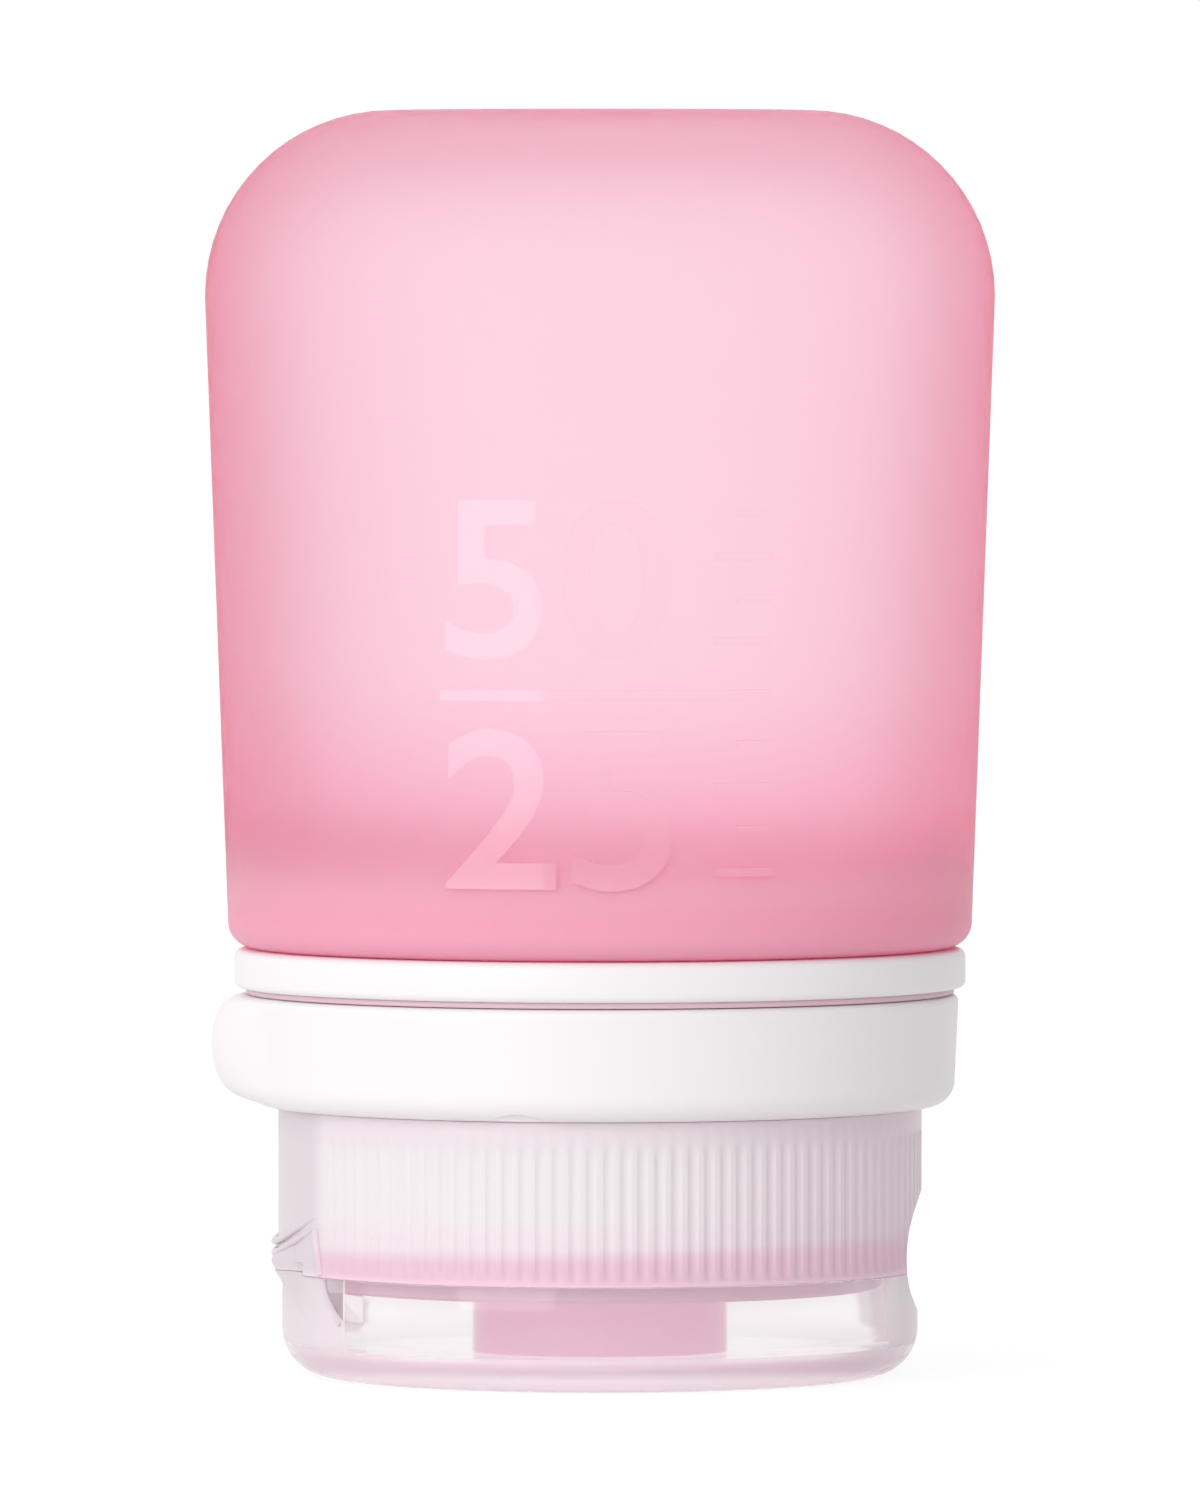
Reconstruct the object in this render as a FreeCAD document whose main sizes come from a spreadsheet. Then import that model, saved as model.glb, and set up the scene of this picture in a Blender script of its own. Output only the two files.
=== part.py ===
import FreeCAD, Part
import math
import os
import Sketcher

# A soft squeeze bottle for travel, standing on its flip-top screw cap.
# Millimetres, +Z up. The origin is the centre of the lid's flat face and the lid's hinge is at -X.

SIZES = {
    # flip lid
    "lid_height": 5.8,
    "lid_plate": 1.2,
    "lid_wall": 1.2,
    "lid_inset": 0.22,
    "lid_edge_radius": 2.6,
    "lid_corner_radius": 1.2,
    "plug_radius": 3.4,
    "plug_wall": 0.9,
    "plug_height": 1.1,
    # screw cap
    "seam_gap": 0.1,
    "cap_height": 8.8,
    "cap_wall": 1.37,
    "cap_edge_radius": 0.3,
    "deck_thickness": 1.0,
    "spigot_height": 1.0,
    "spigot_wall": 0.9,
    "spigot_clearance": 0.25,
    "boss_radius": 7.05,
    "boss_gap": 0.5,
    "exit_radius": 3.9,
    "exit_lip": 0.9,
    "rib_count": 120,
    "rib_depth": 0.3,
    "rib_gap_share": 0.6,
    "rib_floor_share": 0.4,
    "rib_arc": 294.0,
    "rib_foot": 0.3,
    "rib_band": 1.1,
    # thumb scallop across the parting line
    "scallop_radius": 7.45,
    "scallop_depth": 0.94,
    "scallop_rise": 0.8,
    # hinge between cap and lid
    "hinge_rise": 0.7,
    "hinge_sink": 0.07,
    "hinge_bead": 0.35,
    "hinge_web": 1.9,
    "hinge_half_length": 9.16,
    "hinge_nose_half_length": 4.5,
    "hinge_root": 0.9,
    "hinge_end_stand": 0.26,
    "leaf_depth": 1.27,
    "leaf_foot": 0.5,
    "leaf_nose": 0.15,
    "leaf_gap": 0.2,
    "notch_clearance": 0.2,
    "notch_drop": 0.8,
    "slot_width": 1.44,
    "slot_drop": 2.6,
    # screw thread
    "thread_pitch": 3.0,
    "thread_depth": 0.9,
    "thread_base": 1.3,
    "thread_tip": 0.7,
    "thread_clearance": 0.2,
    "thread_start": 0.95,
    "collar_thread_turns": 1.3,
    "cap_thread_turns": 1.85,
    # collar and swivel ring
    "collar_wall": 1.5,
    "seat_step": 1.05,
    "cap_gap": 0.1,
    "ring_gap": 0.15,
    "ring_height": 6.2,
    "ring_play": 0.1,
    "ring_clearance": 0.15,
    "ring_wall": 2.4,
    "ring_draft": 0.2,
    "ring_foot_radius": 1.4,
    "ring_edge_radius": 0.4,
    "bead_rise": 1.1,
    "bead_half_height": 0.5,
    "bead_bend": 0.55,
    "bead_clearance": 0.2,
    "lug_reach": 3.05,
    "lug_half_height": 2.95,
    "lug_half_length": 7.5,
    "lug_sink": 1.35,
    "detent_offset": 4.6,
    "detent_half_width": 1.5,
    "detent_height": 0.45,
    # shoulder ring
    "shoulder_ring_height": 2.15,
    "shoulder_ring_wall": 2.4,
    "shoulder_ring_step": 0.4,
    "shoulder_ring_edge_radius": 0.5,
    # soft body
    "neck_radius": 13.85,
    "neck_wall": 1.4,
    "neck_clearance": 0.05,
    "lip_thickness": 1.3,
    "lip_inset": 0.2,
    "lip_edge_radius": 0.4,
    "seal_gap": 0.1,
    "flange_thickness": 0.35,
    "flange_inset": 0.6,
    "body_height": 46.4,
    "body_wall": 1.8,
    "shoulder_overhang": 0.35,
    "shoulder_edge_radius": 1.4,
    "shoulder_floor": 2.0,
    "end_flare": 1.63,
    "end_flattening": 4.65,
    "end_corner_radius": 10.27,
    "corner_limit_share": 0.9,
    # valve and its retainer
    "valve_radius": 5.1,
    "valve_head": 3.4,
    "valve_rim": 1.0,
    "valve_membrane": 0.5,
    "valve_dome": 0.9,
    "valve_clearance": 0.05,
    "slit_length": 4.4,
    "slit_width": 0.08,
    "retainer_bore": 3.9,
    "retainer_flange": 6.5,
    "retainer_flange_thickness": 0.6,
    # how far cutters and joined roots run past a face
    "overrun": 0.2,
}

FULL_TURN = 360

# The soft wall's cross-sections lie at these shares of its height, and it flattens by this power of the share.
SECTION_SHARES = (0, 1 / 3, 2 / 3, 1)
FLATTENING_POWER = 1.6

doc = FreeCAD.newDocument("travel_bottle")
sheet = doc.addObject("Spreadsheet::Sheet", "Sizes")
for row, (alias, number) in enumerate(SIZES.items(), 1):
    sheet.set(f"A{row}", alias)
    sheet.set(f"B{row}", str(number))
    sheet.setAlias(f"B{row}", alias)
doc.recompute()


class Size:
    """A length with its value and the sheet formula that it comes from."""

    def __init__(self, value, formula):
        self.value = value
        self.formula = formula

    def __add__(self, other):
        other = as_size(other)
        return Size(self.value + other.value, f"({self.formula} + {other.formula})")

    def __sub__(self, other):
        other = as_size(other)
        return Size(self.value - other.value, f"({self.formula} - {other.formula})")

    def __mul__(self, other):
        other = as_size(other)
        return Size(self.value * other.value, f"({self.formula} * {other.formula})")

    def __truediv__(self, other):
        other = as_size(other)
        return Size(self.value / other.value, f"({self.formula} / {other.formula})")

    def __neg__(self):
        return Size(-self.value, f"(-1 * {self.formula})")

    def __pow__(self, power):
        return Size(self.value**power, f"({self.formula} ^ {power})")


def as_size(number):
    return number if isinstance(number, Size) else Size(number, str(number))


def root_of(size):
    return Size(math.sqrt(size.value), f"sqrt({size.formula})")


def lesser(first, second):
    return Size(min(first.value, second.value), f"min({first.formula}; {second.formula})")


def bend_over(half_chord, rise):
    """Radius of the arc that rises by that much over half its chord."""
    return (half_chord * half_chord + rise * rise) / (rise * 2)


def tie(thing, prop, size):
    thing.setExpression(prop, as_size(size).formula)


class Names:
    """The sheet's sizes as attributes."""


s = Names()
for alias, number in SIZES.items():
    setattr(s, alias, Size(number, f"Sizes.{alias}"))
zero = Size(0, "0")

# Levels above the lid's flat face, from the lid up to the closed end.
plug_top = s.lid_plate + s.plug_height
boss_foot = s.lid_plate + s.boss_gap
valve_seat = boss_foot + s.exit_lip
valve_foot = valve_seat + s.valve_clearance
cap_foot = s.lid_height + s.seam_gap
hinge_level = cap_foot + s.hinge_rise
deck_top = cap_foot + s.deck_thickness
lip_foot = deck_top + s.seal_gap
collar_foot = lip_foot + s.lip_thickness
cap_top = cap_foot + s.cap_height
collar_step = cap_top + s.cap_gap
web_top = collar_step + s.collar_wall
ring_foot = collar_step + s.ring_gap
bead_level = ring_foot + s.bead_rise
ring_top = ring_foot + s.ring_height
collar_top = ring_top + s.ring_play
flange_top = collar_top + s.flange_thickness
shoulder = flange_top + s.shoulder_ring_height
side_foot = shoulder + s.shoulder_edge_radius
cavity_foot = shoulder + s.shoulder_floor
body_top = shoulder + s.body_height

# Radii, from the soft neck outwards.
neck_bore = s.neck_radius - s.neck_wall
collar_bore = s.neck_radius + s.neck_clearance
thread_root = collar_bore + s.collar_wall
thread_crest = thread_root + s.thread_depth
lip_radius = thread_root - s.lip_inset
cap_bore = thread_crest + s.thread_clearance
cap_radius = cap_bore + s.cap_wall
lid_radius = cap_radius - s.lid_inset
lid_bore = lid_radius - s.lid_wall
spigot_radius = lid_bore - s.spigot_clearance
seat_radius = thread_crest + s.seat_step
upper_neck = seat_radius - s.collar_wall - s.neck_clearance
ring_bore = seat_radius + s.ring_clearance
ring_radius = ring_bore + s.ring_wall
shoulder_ring_radius = ring_radius + s.shoulder_ring_step
shoulder_ring_bore = shoulder_ring_radius - s.shoulder_ring_wall
top_neck = shoulder_ring_bore - s.neck_clearance
throat = top_neck - s.neck_wall
flange_radius = ring_radius - s.flange_inset
shoulder_radius = shoulder_ring_radius + s.shoulder_overhang
valve_bore = s.valve_radius + s.valve_clearance

# The hinge's axis lies along Y at -hinge_reach, and its leaves follow the round wall in plan.
hinge_reach = cap_radius - s.hinge_sink
nose_reach = hinge_reach + s.hinge_bead
wall_at_hinge_ends = root_of(cap_radius * cap_radius - s.hinge_half_length * s.hinge_half_length)
root_reach = wall_at_hinge_ends - s.hinge_root
end_reach = wall_at_hinge_ends + s.hinge_end_stand
leaf_reach = cap_radius - s.leaf_depth
lid_notch = s.lid_height - s.notch_drop


def origin_plane(body, role):
    return next(plane for plane in body.Origin.OriginFeatures if plane.Role == role)


def hold(sketch, geometry, end, across, along):
    """Holds the end of a sketch line at its two distances from the sketch's origin."""
    for kind, axis, distance in (("DistanceX", -2, across), ("DistanceY", -1, along)):
        if distance.value == 0:
            sketch.addConstraint(Sketcher.Constraint("PointOnObject", geometry, end, axis))
            continue
        ends = (-1, 1, geometry, end)
        if distance.value < 0:
            distance = -distance
            ends = (geometry, end, -1, 1)
        index = sketch.addConstraint(Sketcher.Constraint(kind, *ends, distance.value))
        tie(sketch, f"Constraints[{index}]", distance)


def arc_between(start, end, bend):
    """The arc from start to end: bend is its radius, positive where it turns left."""
    chord = end - start
    rise = math.sqrt(max(bend * bend - chord.Length**2 / 4, 0))
    left = FreeCAD.Vector(-chord.y, chord.x).normalize()
    centre = (start + end) / 2 + left * math.copysign(rise, bend)
    first, last = (start, end) if bend > 0 else (end, start)
    angles = [math.atan2(point.y - centre.y, point.x - centre.x) for point in (first, last)]
    circle = Part.Circle(centre, FreeCAD.Vector(0, 0, 1), abs(bend))
    return Part.ArcOfCircle(circle, *angles)


def new_sketch(body, name, role, lift=None):
    sketch = body.newObject("Sketcher::SketchObject", name)
    sketch.AttachmentSupport = (origin_plane(body, role), [""])
    sketch.MapMode = "FlatFace"
    if lift is not None:
        tie(sketch, "AttachmentOffset.Base.z", lift)
    return sketch


def outline(body, name, role, corners, lift=None):
    """A closed sketch through its corners. A third value bends the side that leaves that corner."""
    sketch = new_sketch(body, name, role, lift)
    sides = []
    for corner, following in zip(corners, corners[1:] + corners[:1]):
        start = FreeCAD.Vector(corner[0].value, corner[1].value)
        end = FreeCAD.Vector(following[0].value, following[1].value)
        if len(corner) == 2:
            index = sketch.addGeometry(Part.LineSegment(start, end), False)
            sides.append((index, 1, 2))
            continue
        bend = corner[2]
        index = sketch.addGeometry(arc_between(start, end, bend.value), False)
        sides.append((index, 1, 2) if bend.value > 0 else (index, 2, 1))
        radius = bend if bend.value > 0 else -bend
        held = sketch.addConstraint(Sketcher.Constraint("Radius", index, radius.value))
        tie(sketch, f"Constraints[{held}]", radius)
    for side, following, corner in zip(sides, sides[1:] + sides[:1], corners):
        sketch.addConstraint(
            Sketcher.Constraint("Coincident", side[0], side[2], following[0], following[1])
        )
        hold(sketch, side[0], side[1], corner[0], corner[1])
    return sketch


def disc(body, name, role, across, along, radius, lift=None):
    """A sketch of one circle."""
    sketch = new_sketch(body, name, role, lift)
    centre = FreeCAD.Vector(across.value, along.value)
    circle = Part.Circle(centre, FreeCAD.Vector(0, 0, 1), radius.value)
    index = sketch.addGeometry(circle, False)
    held = sketch.addConstraint(Sketcher.Constraint("Radius", index, radius.value))
    tie(sketch, f"Constraints[{held}]", radius)
    hold(sketch, index, 3, across, along)
    return sketch


def turned(name, corners):
    """A body turned about Z from its half section, given as radius and level."""
    body = doc.addObject("PartDesign::Body", name)
    turn_in(body, "Revolution", f"{name}_turning", corners)
    return body


def turn_in(body, kind, name, corners):
    sketch = outline(body, f"{name}_section", "XZ_Plane", corners)
    turning = body.newObject(f"PartDesign::{kind}", name)
    turning.Profile = sketch
    turning.ReferenceAxis = (sketch, ["V_Axis"])
    turning.Angle = FULL_TURN
    doc.recompute()
    return turning


def extrude(body, kind, name, sketch, length, side="Symmetric", reverse=False):
    """A Pad or Pocket of that length. Symmetric lengths are shared between both sides."""
    feature = body.newObject(f"PartDesign::{kind}", name)
    feature.Profile = sketch
    feature.SideType = side
    feature.Reversed = reverse
    tie(feature, "Length", length)
    before = volume_of(body)
    doc.recompute()
    changed = volume_of(body) - before
    if changed * (1 if kind == "Pad" else -1) <= 0:
        raise RuntimeError(f"{name} changes nothing")
    return feature


def volume_of(body):
    return body.Shape.Volume


def helix_on(body, name, corners, turns):
    """A screw ridge of the given section, climbing about Z."""
    sketch = outline(body, f"{name}_section", "XZ_Plane", corners)
    doc.recompute()
    ridge = body.newObject("PartDesign::AdditiveHelix", name)
    ridge.Profile = sketch
    ridge.ReferenceAxis = (sketch, ["V_Axis"])
    ridge.Mode = "pitch-turns-angle"
    tie(ridge, "Pitch", s.thread_pitch)
    tie(ridge, "Turns", turns)
    doc.recompute()
    return ridge


def ridge_section(root, tip, level):
    half_base = s.thread_base / 2
    half_tip = s.thread_tip / 2
    return [
        (root, level - half_base),
        (tip, level - half_tip),
        (tip, level + half_tip),
        (root, level + half_base),
    ]


def scallop(body, name):
    """The hollow for a thumb, opposite the hinge, a round trough along Y."""
    reach = cap_radius - s.scallop_depth + s.scallop_radius
    trough = disc(body, f"{name}_section", "XZ_Plane", reach, cap_foot + s.scallop_rise, s.scallop_radius)
    extrude(body, "Pocket", name, trough, cap_radius * 2)


def trim_hinge_ends(body, name, foot, height):
    """Slants both ends of a hinge leaf in plan, from its nose back to the round wall."""
    past_nose = nose_reach + s.overrun
    for side, sign in (("front", -1), ("back", 1)):
        corners = [
            (-past_nose, s.hinge_nose_half_length * sign),
            (-end_reach, s.hinge_half_length * sign),
            (-end_reach, (s.hinge_half_length + s.overrun) * sign),
            (-past_nose, (s.hinge_half_length + s.overrun) * sign),
        ]
        sketch = outline(body, f"{name}_{side}_plan", "XY_Plane", corners, foot)
        extrude(body, "Pocket", f"{name}_{side}", sketch, height, "One side", True)


def make_flip_lid():
    rounding = s.lid_corner_radius
    lid = turned(
        "flip_lid",
        [
            (zero, zero),
            (lid_radius - s.lid_edge_radius, zero, s.lid_edge_radius),
            (lid_radius, s.lid_edge_radius),
            (lid_radius, s.lid_height),
            (lid_bore, s.lid_height),
            (lid_bore, s.lid_plate + rounding, -rounding),
            (lid_bore - rounding, s.lid_plate),
            (s.plug_radius, s.lid_plate),
            (s.plug_radius, plug_top),
            (s.plug_radius - s.plug_wall, plug_top),
            (s.plug_radius - s.plug_wall, s.lid_plate),
            (zero, s.lid_plate),
        ],
    )
    past_rim = s.lid_height + s.overrun
    rim = [
        (-(lid_radius + s.overrun), lid_notch),
        (-s.plug_radius, lid_notch),
        (-s.plug_radius, past_rim),
        (-(lid_radius + s.overrun), past_rim),
    ]
    rim_sketch = outline(lid, "rim_notch_section", "XZ_Plane", rim)
    extrude(lid, "Pocket", "rim_notch", rim_sketch, s.hinge_half_length * 2)
    for side, sign in (("front", -1), ("back", 1)):
        outer = (s.hinge_half_length + s.slot_width) * sign
        slot = [
            (s.hinge_half_length * sign, lid_notch),
            (outer, s.lid_height - s.slot_drop),
            (outer, past_rim),
            (s.hinge_half_length * sign, past_rim),
        ]
        slot_sketch = outline(lid, f"{side}_slot_outline", "YZ_Plane", slot)
        extrude(lid, "Pocket", f"{side}_slot", slot_sketch, lid_radius + s.overrun, "One side")
    leaf_top = hinge_level - s.hinge_bead - s.leaf_gap
    leaf = [
        (-leaf_reach, lid_notch - s.leaf_foot),
        (-leaf_reach, leaf_top),
        (-(hinge_reach + s.leaf_nose), leaf_top),
        (-(lid_radius - s.leaf_nose), lid_notch - s.leaf_foot),
    ]
    leaf_sketch = outline(lid, "leaf_section", "XZ_Plane", leaf)
    extrude(lid, "Pad", "hinge_leaf", leaf_sketch, s.hinge_half_length * 2)
    trim_hinge_ends(lid, "leaf_trim", lid_notch - s.leaf_foot, s.cap_height)
    scallop(lid, "lid_scallop")
    return lid


def make_screw_cap():
    cap = turned(
        "screw_cap",
        [
            (s.exit_radius, boss_foot),
            (s.boss_radius, boss_foot),
            (s.boss_radius, cap_foot),
            (spigot_radius - s.spigot_wall, cap_foot),
            (spigot_radius - s.spigot_wall, cap_foot - s.spigot_height),
            (spigot_radius, cap_foot - s.spigot_height),
            (spigot_radius, cap_foot),
            (cap_radius, cap_foot),
            (cap_radius, cap_top - s.cap_edge_radius, s.cap_edge_radius),
            (cap_radius - s.cap_edge_radius, cap_top),
            (cap_bore, cap_top),
            (cap_bore, deck_top),
            (valve_bore, deck_top),
            (valve_bore, valve_seat),
            (s.exit_radius, valve_seat),
        ],
    )
    notch_reach = leaf_reach - s.notch_clearance
    notch = [
        (-(cap_radius + s.overrun), cap_foot - s.overrun),
        (-notch_reach, cap_foot - s.overrun),
        (-notch_reach, hinge_level),
        (-(cap_radius + s.overrun), hinge_level),
    ]
    notch_sketch = outline(cap, "hinge_notch_section", "XZ_Plane", notch)
    extrude(cap, "Pocket", "hinge_notch", notch_sketch, s.hinge_half_length * 2)
    bead = s.hinge_bead
    web = [
        (-hinge_reach, hinge_level - bead, bead),
        (-(hinge_reach - bead), hinge_level),
        (-root_reach, hinge_level),
        (-root_reach, hinge_level + s.hinge_web),
        (-hinge_reach, hinge_level + bead, bead),
        (-nose_reach, hinge_level, bead),
    ]
    web_sketch = outline(cap, "hinge_web_section", "XZ_Plane", web)
    extrude(cap, "Pad", "hinge_web", web_sketch, s.hinge_half_length * 2)
    trim_hinge_ends(cap, "web_trim", cap_foot, s.cap_height)
    room = disc(cap, "thread_room_outline", "XY_Plane", zero, zero, cap_bore, deck_top)
    extrude(cap, "Pocket", "thread_room", room, s.cap_height, "One side", True)
    scallop(cap, "cap_scallop")
    thread_level = collar_foot + s.thread_start - s.thread_pitch / 2
    ridge = ridge_section(cap_bore + s.overrun, thread_root + s.thread_clearance, thread_level)
    helix_on(cap, "cap_thread", ridge, s.cap_thread_turns)
    cut_grip_ribs(cap)
    return cap


def cut_grip_ribs(cap):
    """Leaves the grip's ribs standing by cutting the gaps between them, all round but at the hinge."""
    rib_pitch = cap_radius * (2 * math.pi) / s.rib_count
    half_gap = rib_pitch * s.rib_gap_share / 2
    half_floor = half_gap * s.rib_floor_share
    gap = [
        (cap_radius - s.rib_depth, -half_floor),
        (cap_radius + s.rib_depth, -half_gap),
        (cap_radius + s.rib_depth, half_gap),
        (cap_radius - s.rib_depth, half_floor),
    ]
    gap_sketch = outline(cap, "rib_gap_section", "XY_Plane", gap, cap_foot + s.rib_foot)
    first_turn = -s.rib_arc / 2
    upright = FreeCAD.Vector(0, 0, 1)
    gap_sketch.AttachmentOffset.Rotation = FreeCAD.Rotation(upright, first_turn.value)
    tie(gap_sketch, "AttachmentOffset.Rotation.Angle", first_turn)
    rib_length = s.cap_height - s.rib_foot - s.rib_band
    first_gap = extrude(cap, "Pocket", "rib_gap", gap_sketch, rib_length, "One side", True)
    ribs = cap.newObject("PartDesign::PolarPattern", "grip_ribs")
    ribs.Originals = [first_gap]
    ribs.Axis = (gap_sketch, ["N_Axis"])
    ribs.Refine = False
    tie(ribs, "Angle", s.rib_arc)
    gaps = s.rib_count * s.rib_arc / FULL_TURN + 1
    ribs.setExpression("Occurrences", f"round({gaps.formula})")
    cap.Tip = ribs
    doc.recompute()


def make_collar():
    bend = -s.bead_bend
    collar = turned(
        "collar",
        [
            (collar_bore, collar_foot),
            (thread_root, collar_foot),
            (thread_root, collar_step),
            (seat_radius, collar_step),
            (seat_radius, bead_level - s.bead_half_height, -bend),
            (seat_radius, bead_level + s.bead_half_height),
            (seat_radius, collar_top),
            (seat_radius - s.collar_wall, collar_top),
            (seat_radius - s.collar_wall, web_top),
            (collar_bore, web_top),
        ],
    )
    thread_level = collar_foot + s.thread_start
    ridge = ridge_section(thread_root - s.overrun, thread_crest, thread_level)
    helix_on(collar, "collar_thread", ridge, s.collar_thread_turns)
    return collar


def make_loop_ring():
    ring = turned(
        "loop_ring",
        [
            (zero, ring_foot),
            (ring_radius - s.ring_draft - s.ring_foot_radius, ring_foot, s.ring_foot_radius),
            (ring_radius - s.ring_draft, ring_foot + s.ring_foot_radius),
            (ring_radius, ring_top - s.ring_edge_radius, s.ring_edge_radius),
            (ring_radius - s.ring_edge_radius, ring_top),
            (zero, ring_top),
        ],
    )
    lug = ring.newObject("PartDesign::AdditiveEllipsoid", "lug")
    tie(lug, "Radius1", s.lug_half_height)
    tie(lug, "Radius2", s.lug_reach)
    tie(lug, "Radius3", s.lug_half_length)
    tie(lug, "Placement.Base.x", -(ring_radius - s.lug_sink))
    tie(lug, "Placement.Base.z", ring_foot + s.ring_height / 2)
    doc.recompute()
    groove_half = s.bead_half_height + s.bead_clearance
    groove_bend = s.bead_bend + s.bead_clearance
    bore = [
        (zero, ring_foot - s.overrun),
        (ring_bore, ring_foot - s.overrun),
        (ring_bore, bead_level - groove_half, groove_bend),
        (ring_bore, bead_level + groove_half),
        (ring_bore, ring_top + s.overrun),
        (zero, ring_top + s.overrun),
    ]
    turn_in(ring, "Groove", "ring_bore", bore)
    arch = bend_over(s.detent_half_width, s.detent_height)
    arch_level = ring_foot + s.detent_height - arch
    arch_sketch = disc(ring, "detent_outline", "XZ_Plane", -s.detent_offset, arch_level, arch)
    extrude(ring, "Pocket", "detent", arch_sketch, ring_radius + s.overrun, "One side", True)
    return ring


def make_shoulder_ring():
    edge = s.shoulder_ring_edge_radius
    return turned(
        "shoulder_ring",
        [
            (shoulder_ring_bore, flange_top),
            (shoulder_ring_radius - edge, flange_top, edge),
            (shoulder_ring_radius, flange_top + edge),
            (shoulder_ring_radius, shoulder - edge, edge),
            (shoulder_ring_radius - edge, shoulder),
            (shoulder_ring_bore, shoulder),
        ],
    )


def make_valve():
    bend = bend_over(s.valve_head, s.valve_dome)
    valve = turned(
        "valve",
        [
            (zero, valve_foot + s.valve_dome, -bend),
            (s.valve_head, valve_foot),
            (s.valve_radius, valve_foot),
            (s.valve_radius, valve_foot + s.valve_rim),
            (s.valve_head, valve_foot + s.valve_rim),
            (s.valve_head, valve_foot + s.valve_membrane, bend),
            (zero, valve_foot + s.valve_membrane + s.valve_dome),
        ],
    )
    half_length = s.slit_length / 2
    half_width = s.slit_width / 2
    for name, across, along in (("x", half_length, half_width), ("y", half_width, half_length)):
        corners = [(-across, -along), (across, -along), (across, along), (-across, along)]
        sketch = outline(valve, f"slit_{name}_outline", "XY_Plane", corners)
        extrude(valve, "Pocket", f"slit_{name}", sketch, deck_top, "One side", True)
    return valve


def make_valve_retainer():
    retainer_foot = valve_foot + s.valve_rim
    flange_foot = deck_top + s.valve_clearance
    flange_end = flange_foot + s.retainer_flange_thickness
    return turned(
        "valve_retainer",
        [
            (s.retainer_bore, retainer_foot),
            (s.valve_radius, retainer_foot),
            (s.valve_radius, flange_foot),
            (s.retainer_flange, flange_foot),
            (s.retainer_flange, flange_end),
            (s.retainer_bore, flange_end),
        ],
    )


def cross_section(name, level, half_width, half_depth):
    ring = doc.addObject("Part::Ellipse", name)
    tie(ring, "MajorRadius", half_width)
    tie(ring, "MinorRadius", half_depth)
    tie(ring, "Placement.Base.z", level)
    return ring


def soft_form(name, foot, inset):
    """The squeeze body's form, drawn in by an inset: round at the shoulder, flatter at the closed end."""
    top = body_top - inset
    rings = []
    for share in SECTION_SHARES:
        level = foot + (top - foot) * share
        climb = (level - side_foot) / (body_top - side_foot)
        half_width = shoulder_radius + s.end_flare * climb - inset
        half_depth = shoulder_radius - s.end_flattening * climb**FLATTENING_POWER - inset
        rings.append(cross_section(f"{name}_ring_{len(rings)}", level, half_width, half_depth))
    blank = doc.addObject("Part::Loft", f"{name}_blank")
    blank.Sections = rings
    blank.Solid = True
    blank.Ruled = False
    form = doc.addObject("PartDesign::Body", name)
    form.BaseFeature = blank
    doc.recompute()
    base = form.Group[0]
    heights = [edge.CenterOfMass.z for edge in base.Shape.Edges]
    rim = heights.index(max(heights)) + 1
    rounding = form.newObject("PartDesign::Fillet", f"{name}_rounding")
    rounding.Base = (base, [f"Edge{rim}"])
    tightest_turn = half_depth * half_depth / half_width
    tie(rounding, "Radius", lesser(s.end_corner_radius - inset, tightest_turn * s.corner_limit_share))
    doc.recompute()
    return form


def make_bottle_body():
    edge = s.shoulder_edge_radius
    lip_edge = s.lip_edge_radius
    neck_step = web_top + s.neck_clearance
    neck = turned(
        "neck",
        [
            (neck_bore, lip_foot),
            (lip_radius - lip_edge, lip_foot, lip_edge),
            (lip_radius, lip_foot + lip_edge),
            (lip_radius, collar_foot),
            (s.neck_radius, collar_foot),
            (s.neck_radius, neck_step),
            (upper_neck, neck_step),
            (upper_neck, collar_top),
            (flange_radius, collar_top),
            (flange_radius, flange_top),
            (top_neck, flange_top),
            (top_neck, shoulder),
            (shoulder_radius - edge, shoulder, edge),
            (shoulder_radius, side_foot),
            (throat, side_foot),
            (throat, flange_top + s.neck_wall),
            (upper_neck - s.neck_wall, flange_top + s.neck_wall),
            (upper_neck - s.neck_wall, neck_step + s.neck_wall),
            (neck_bore, neck_step + s.neck_wall),
        ],
    )
    outside = soft_form("outside", side_foot, zero)
    cavity = soft_form("cavity", cavity_foot, s.body_wall)
    mouth = doc.addObject("Part::Cylinder", "mouth")
    tie(mouth, "Radius", throat)
    tie(mouth, "Height", cavity_foot - side_foot + s.overrun * 2)
    tie(mouth, "Placement.Base.z", side_foot - s.overrun)
    hollow = doc.addObject("Part::Fuse", "hollow")
    hollow.Base = cavity
    hollow.Tool = mouth
    shell = doc.addObject("Part::Cut", "shell")
    shell.Base = outside
    shell.Tool = hollow
    body = doc.addObject("Part::Fuse", "bottle_body")
    body.Base = shell
    body.Tool = neck
    return body


PIECES = {
    "bottle_body": make_bottle_body(),
    "shoulder_ring": make_shoulder_ring(),
    "collar": make_collar(),
    "loop_ring": make_loop_ring(),
    "screw_cap": make_screw_cap(),
    "flip_lid": make_flip_lid(),
    "valve": make_valve(),
    "valve_retainer": make_valve_retainer(),
}
doc.recompute()

for thing in doc.Objects:
    if {"Invalid", "Error"} & set(thing.State):
        raise RuntimeError(f"{thing.Label} failed: {thing.State}")
for node, piece in PIECES.items():
    piece.Label = node
    if piece.Shape.isNull() or not piece.Shape.isValid() or len(piece.Shape.Solids) != 1:
        raise RuntimeError(f"{node} isn't one sound solid")

os.makedirs("parts", exist_ok=True)
for node, piece in PIECES.items():
    piece.Shape.exportStep(f"parts/{node}.step")
    print(node, round(piece.Shape.Volume, 1), "mm3")
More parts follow.
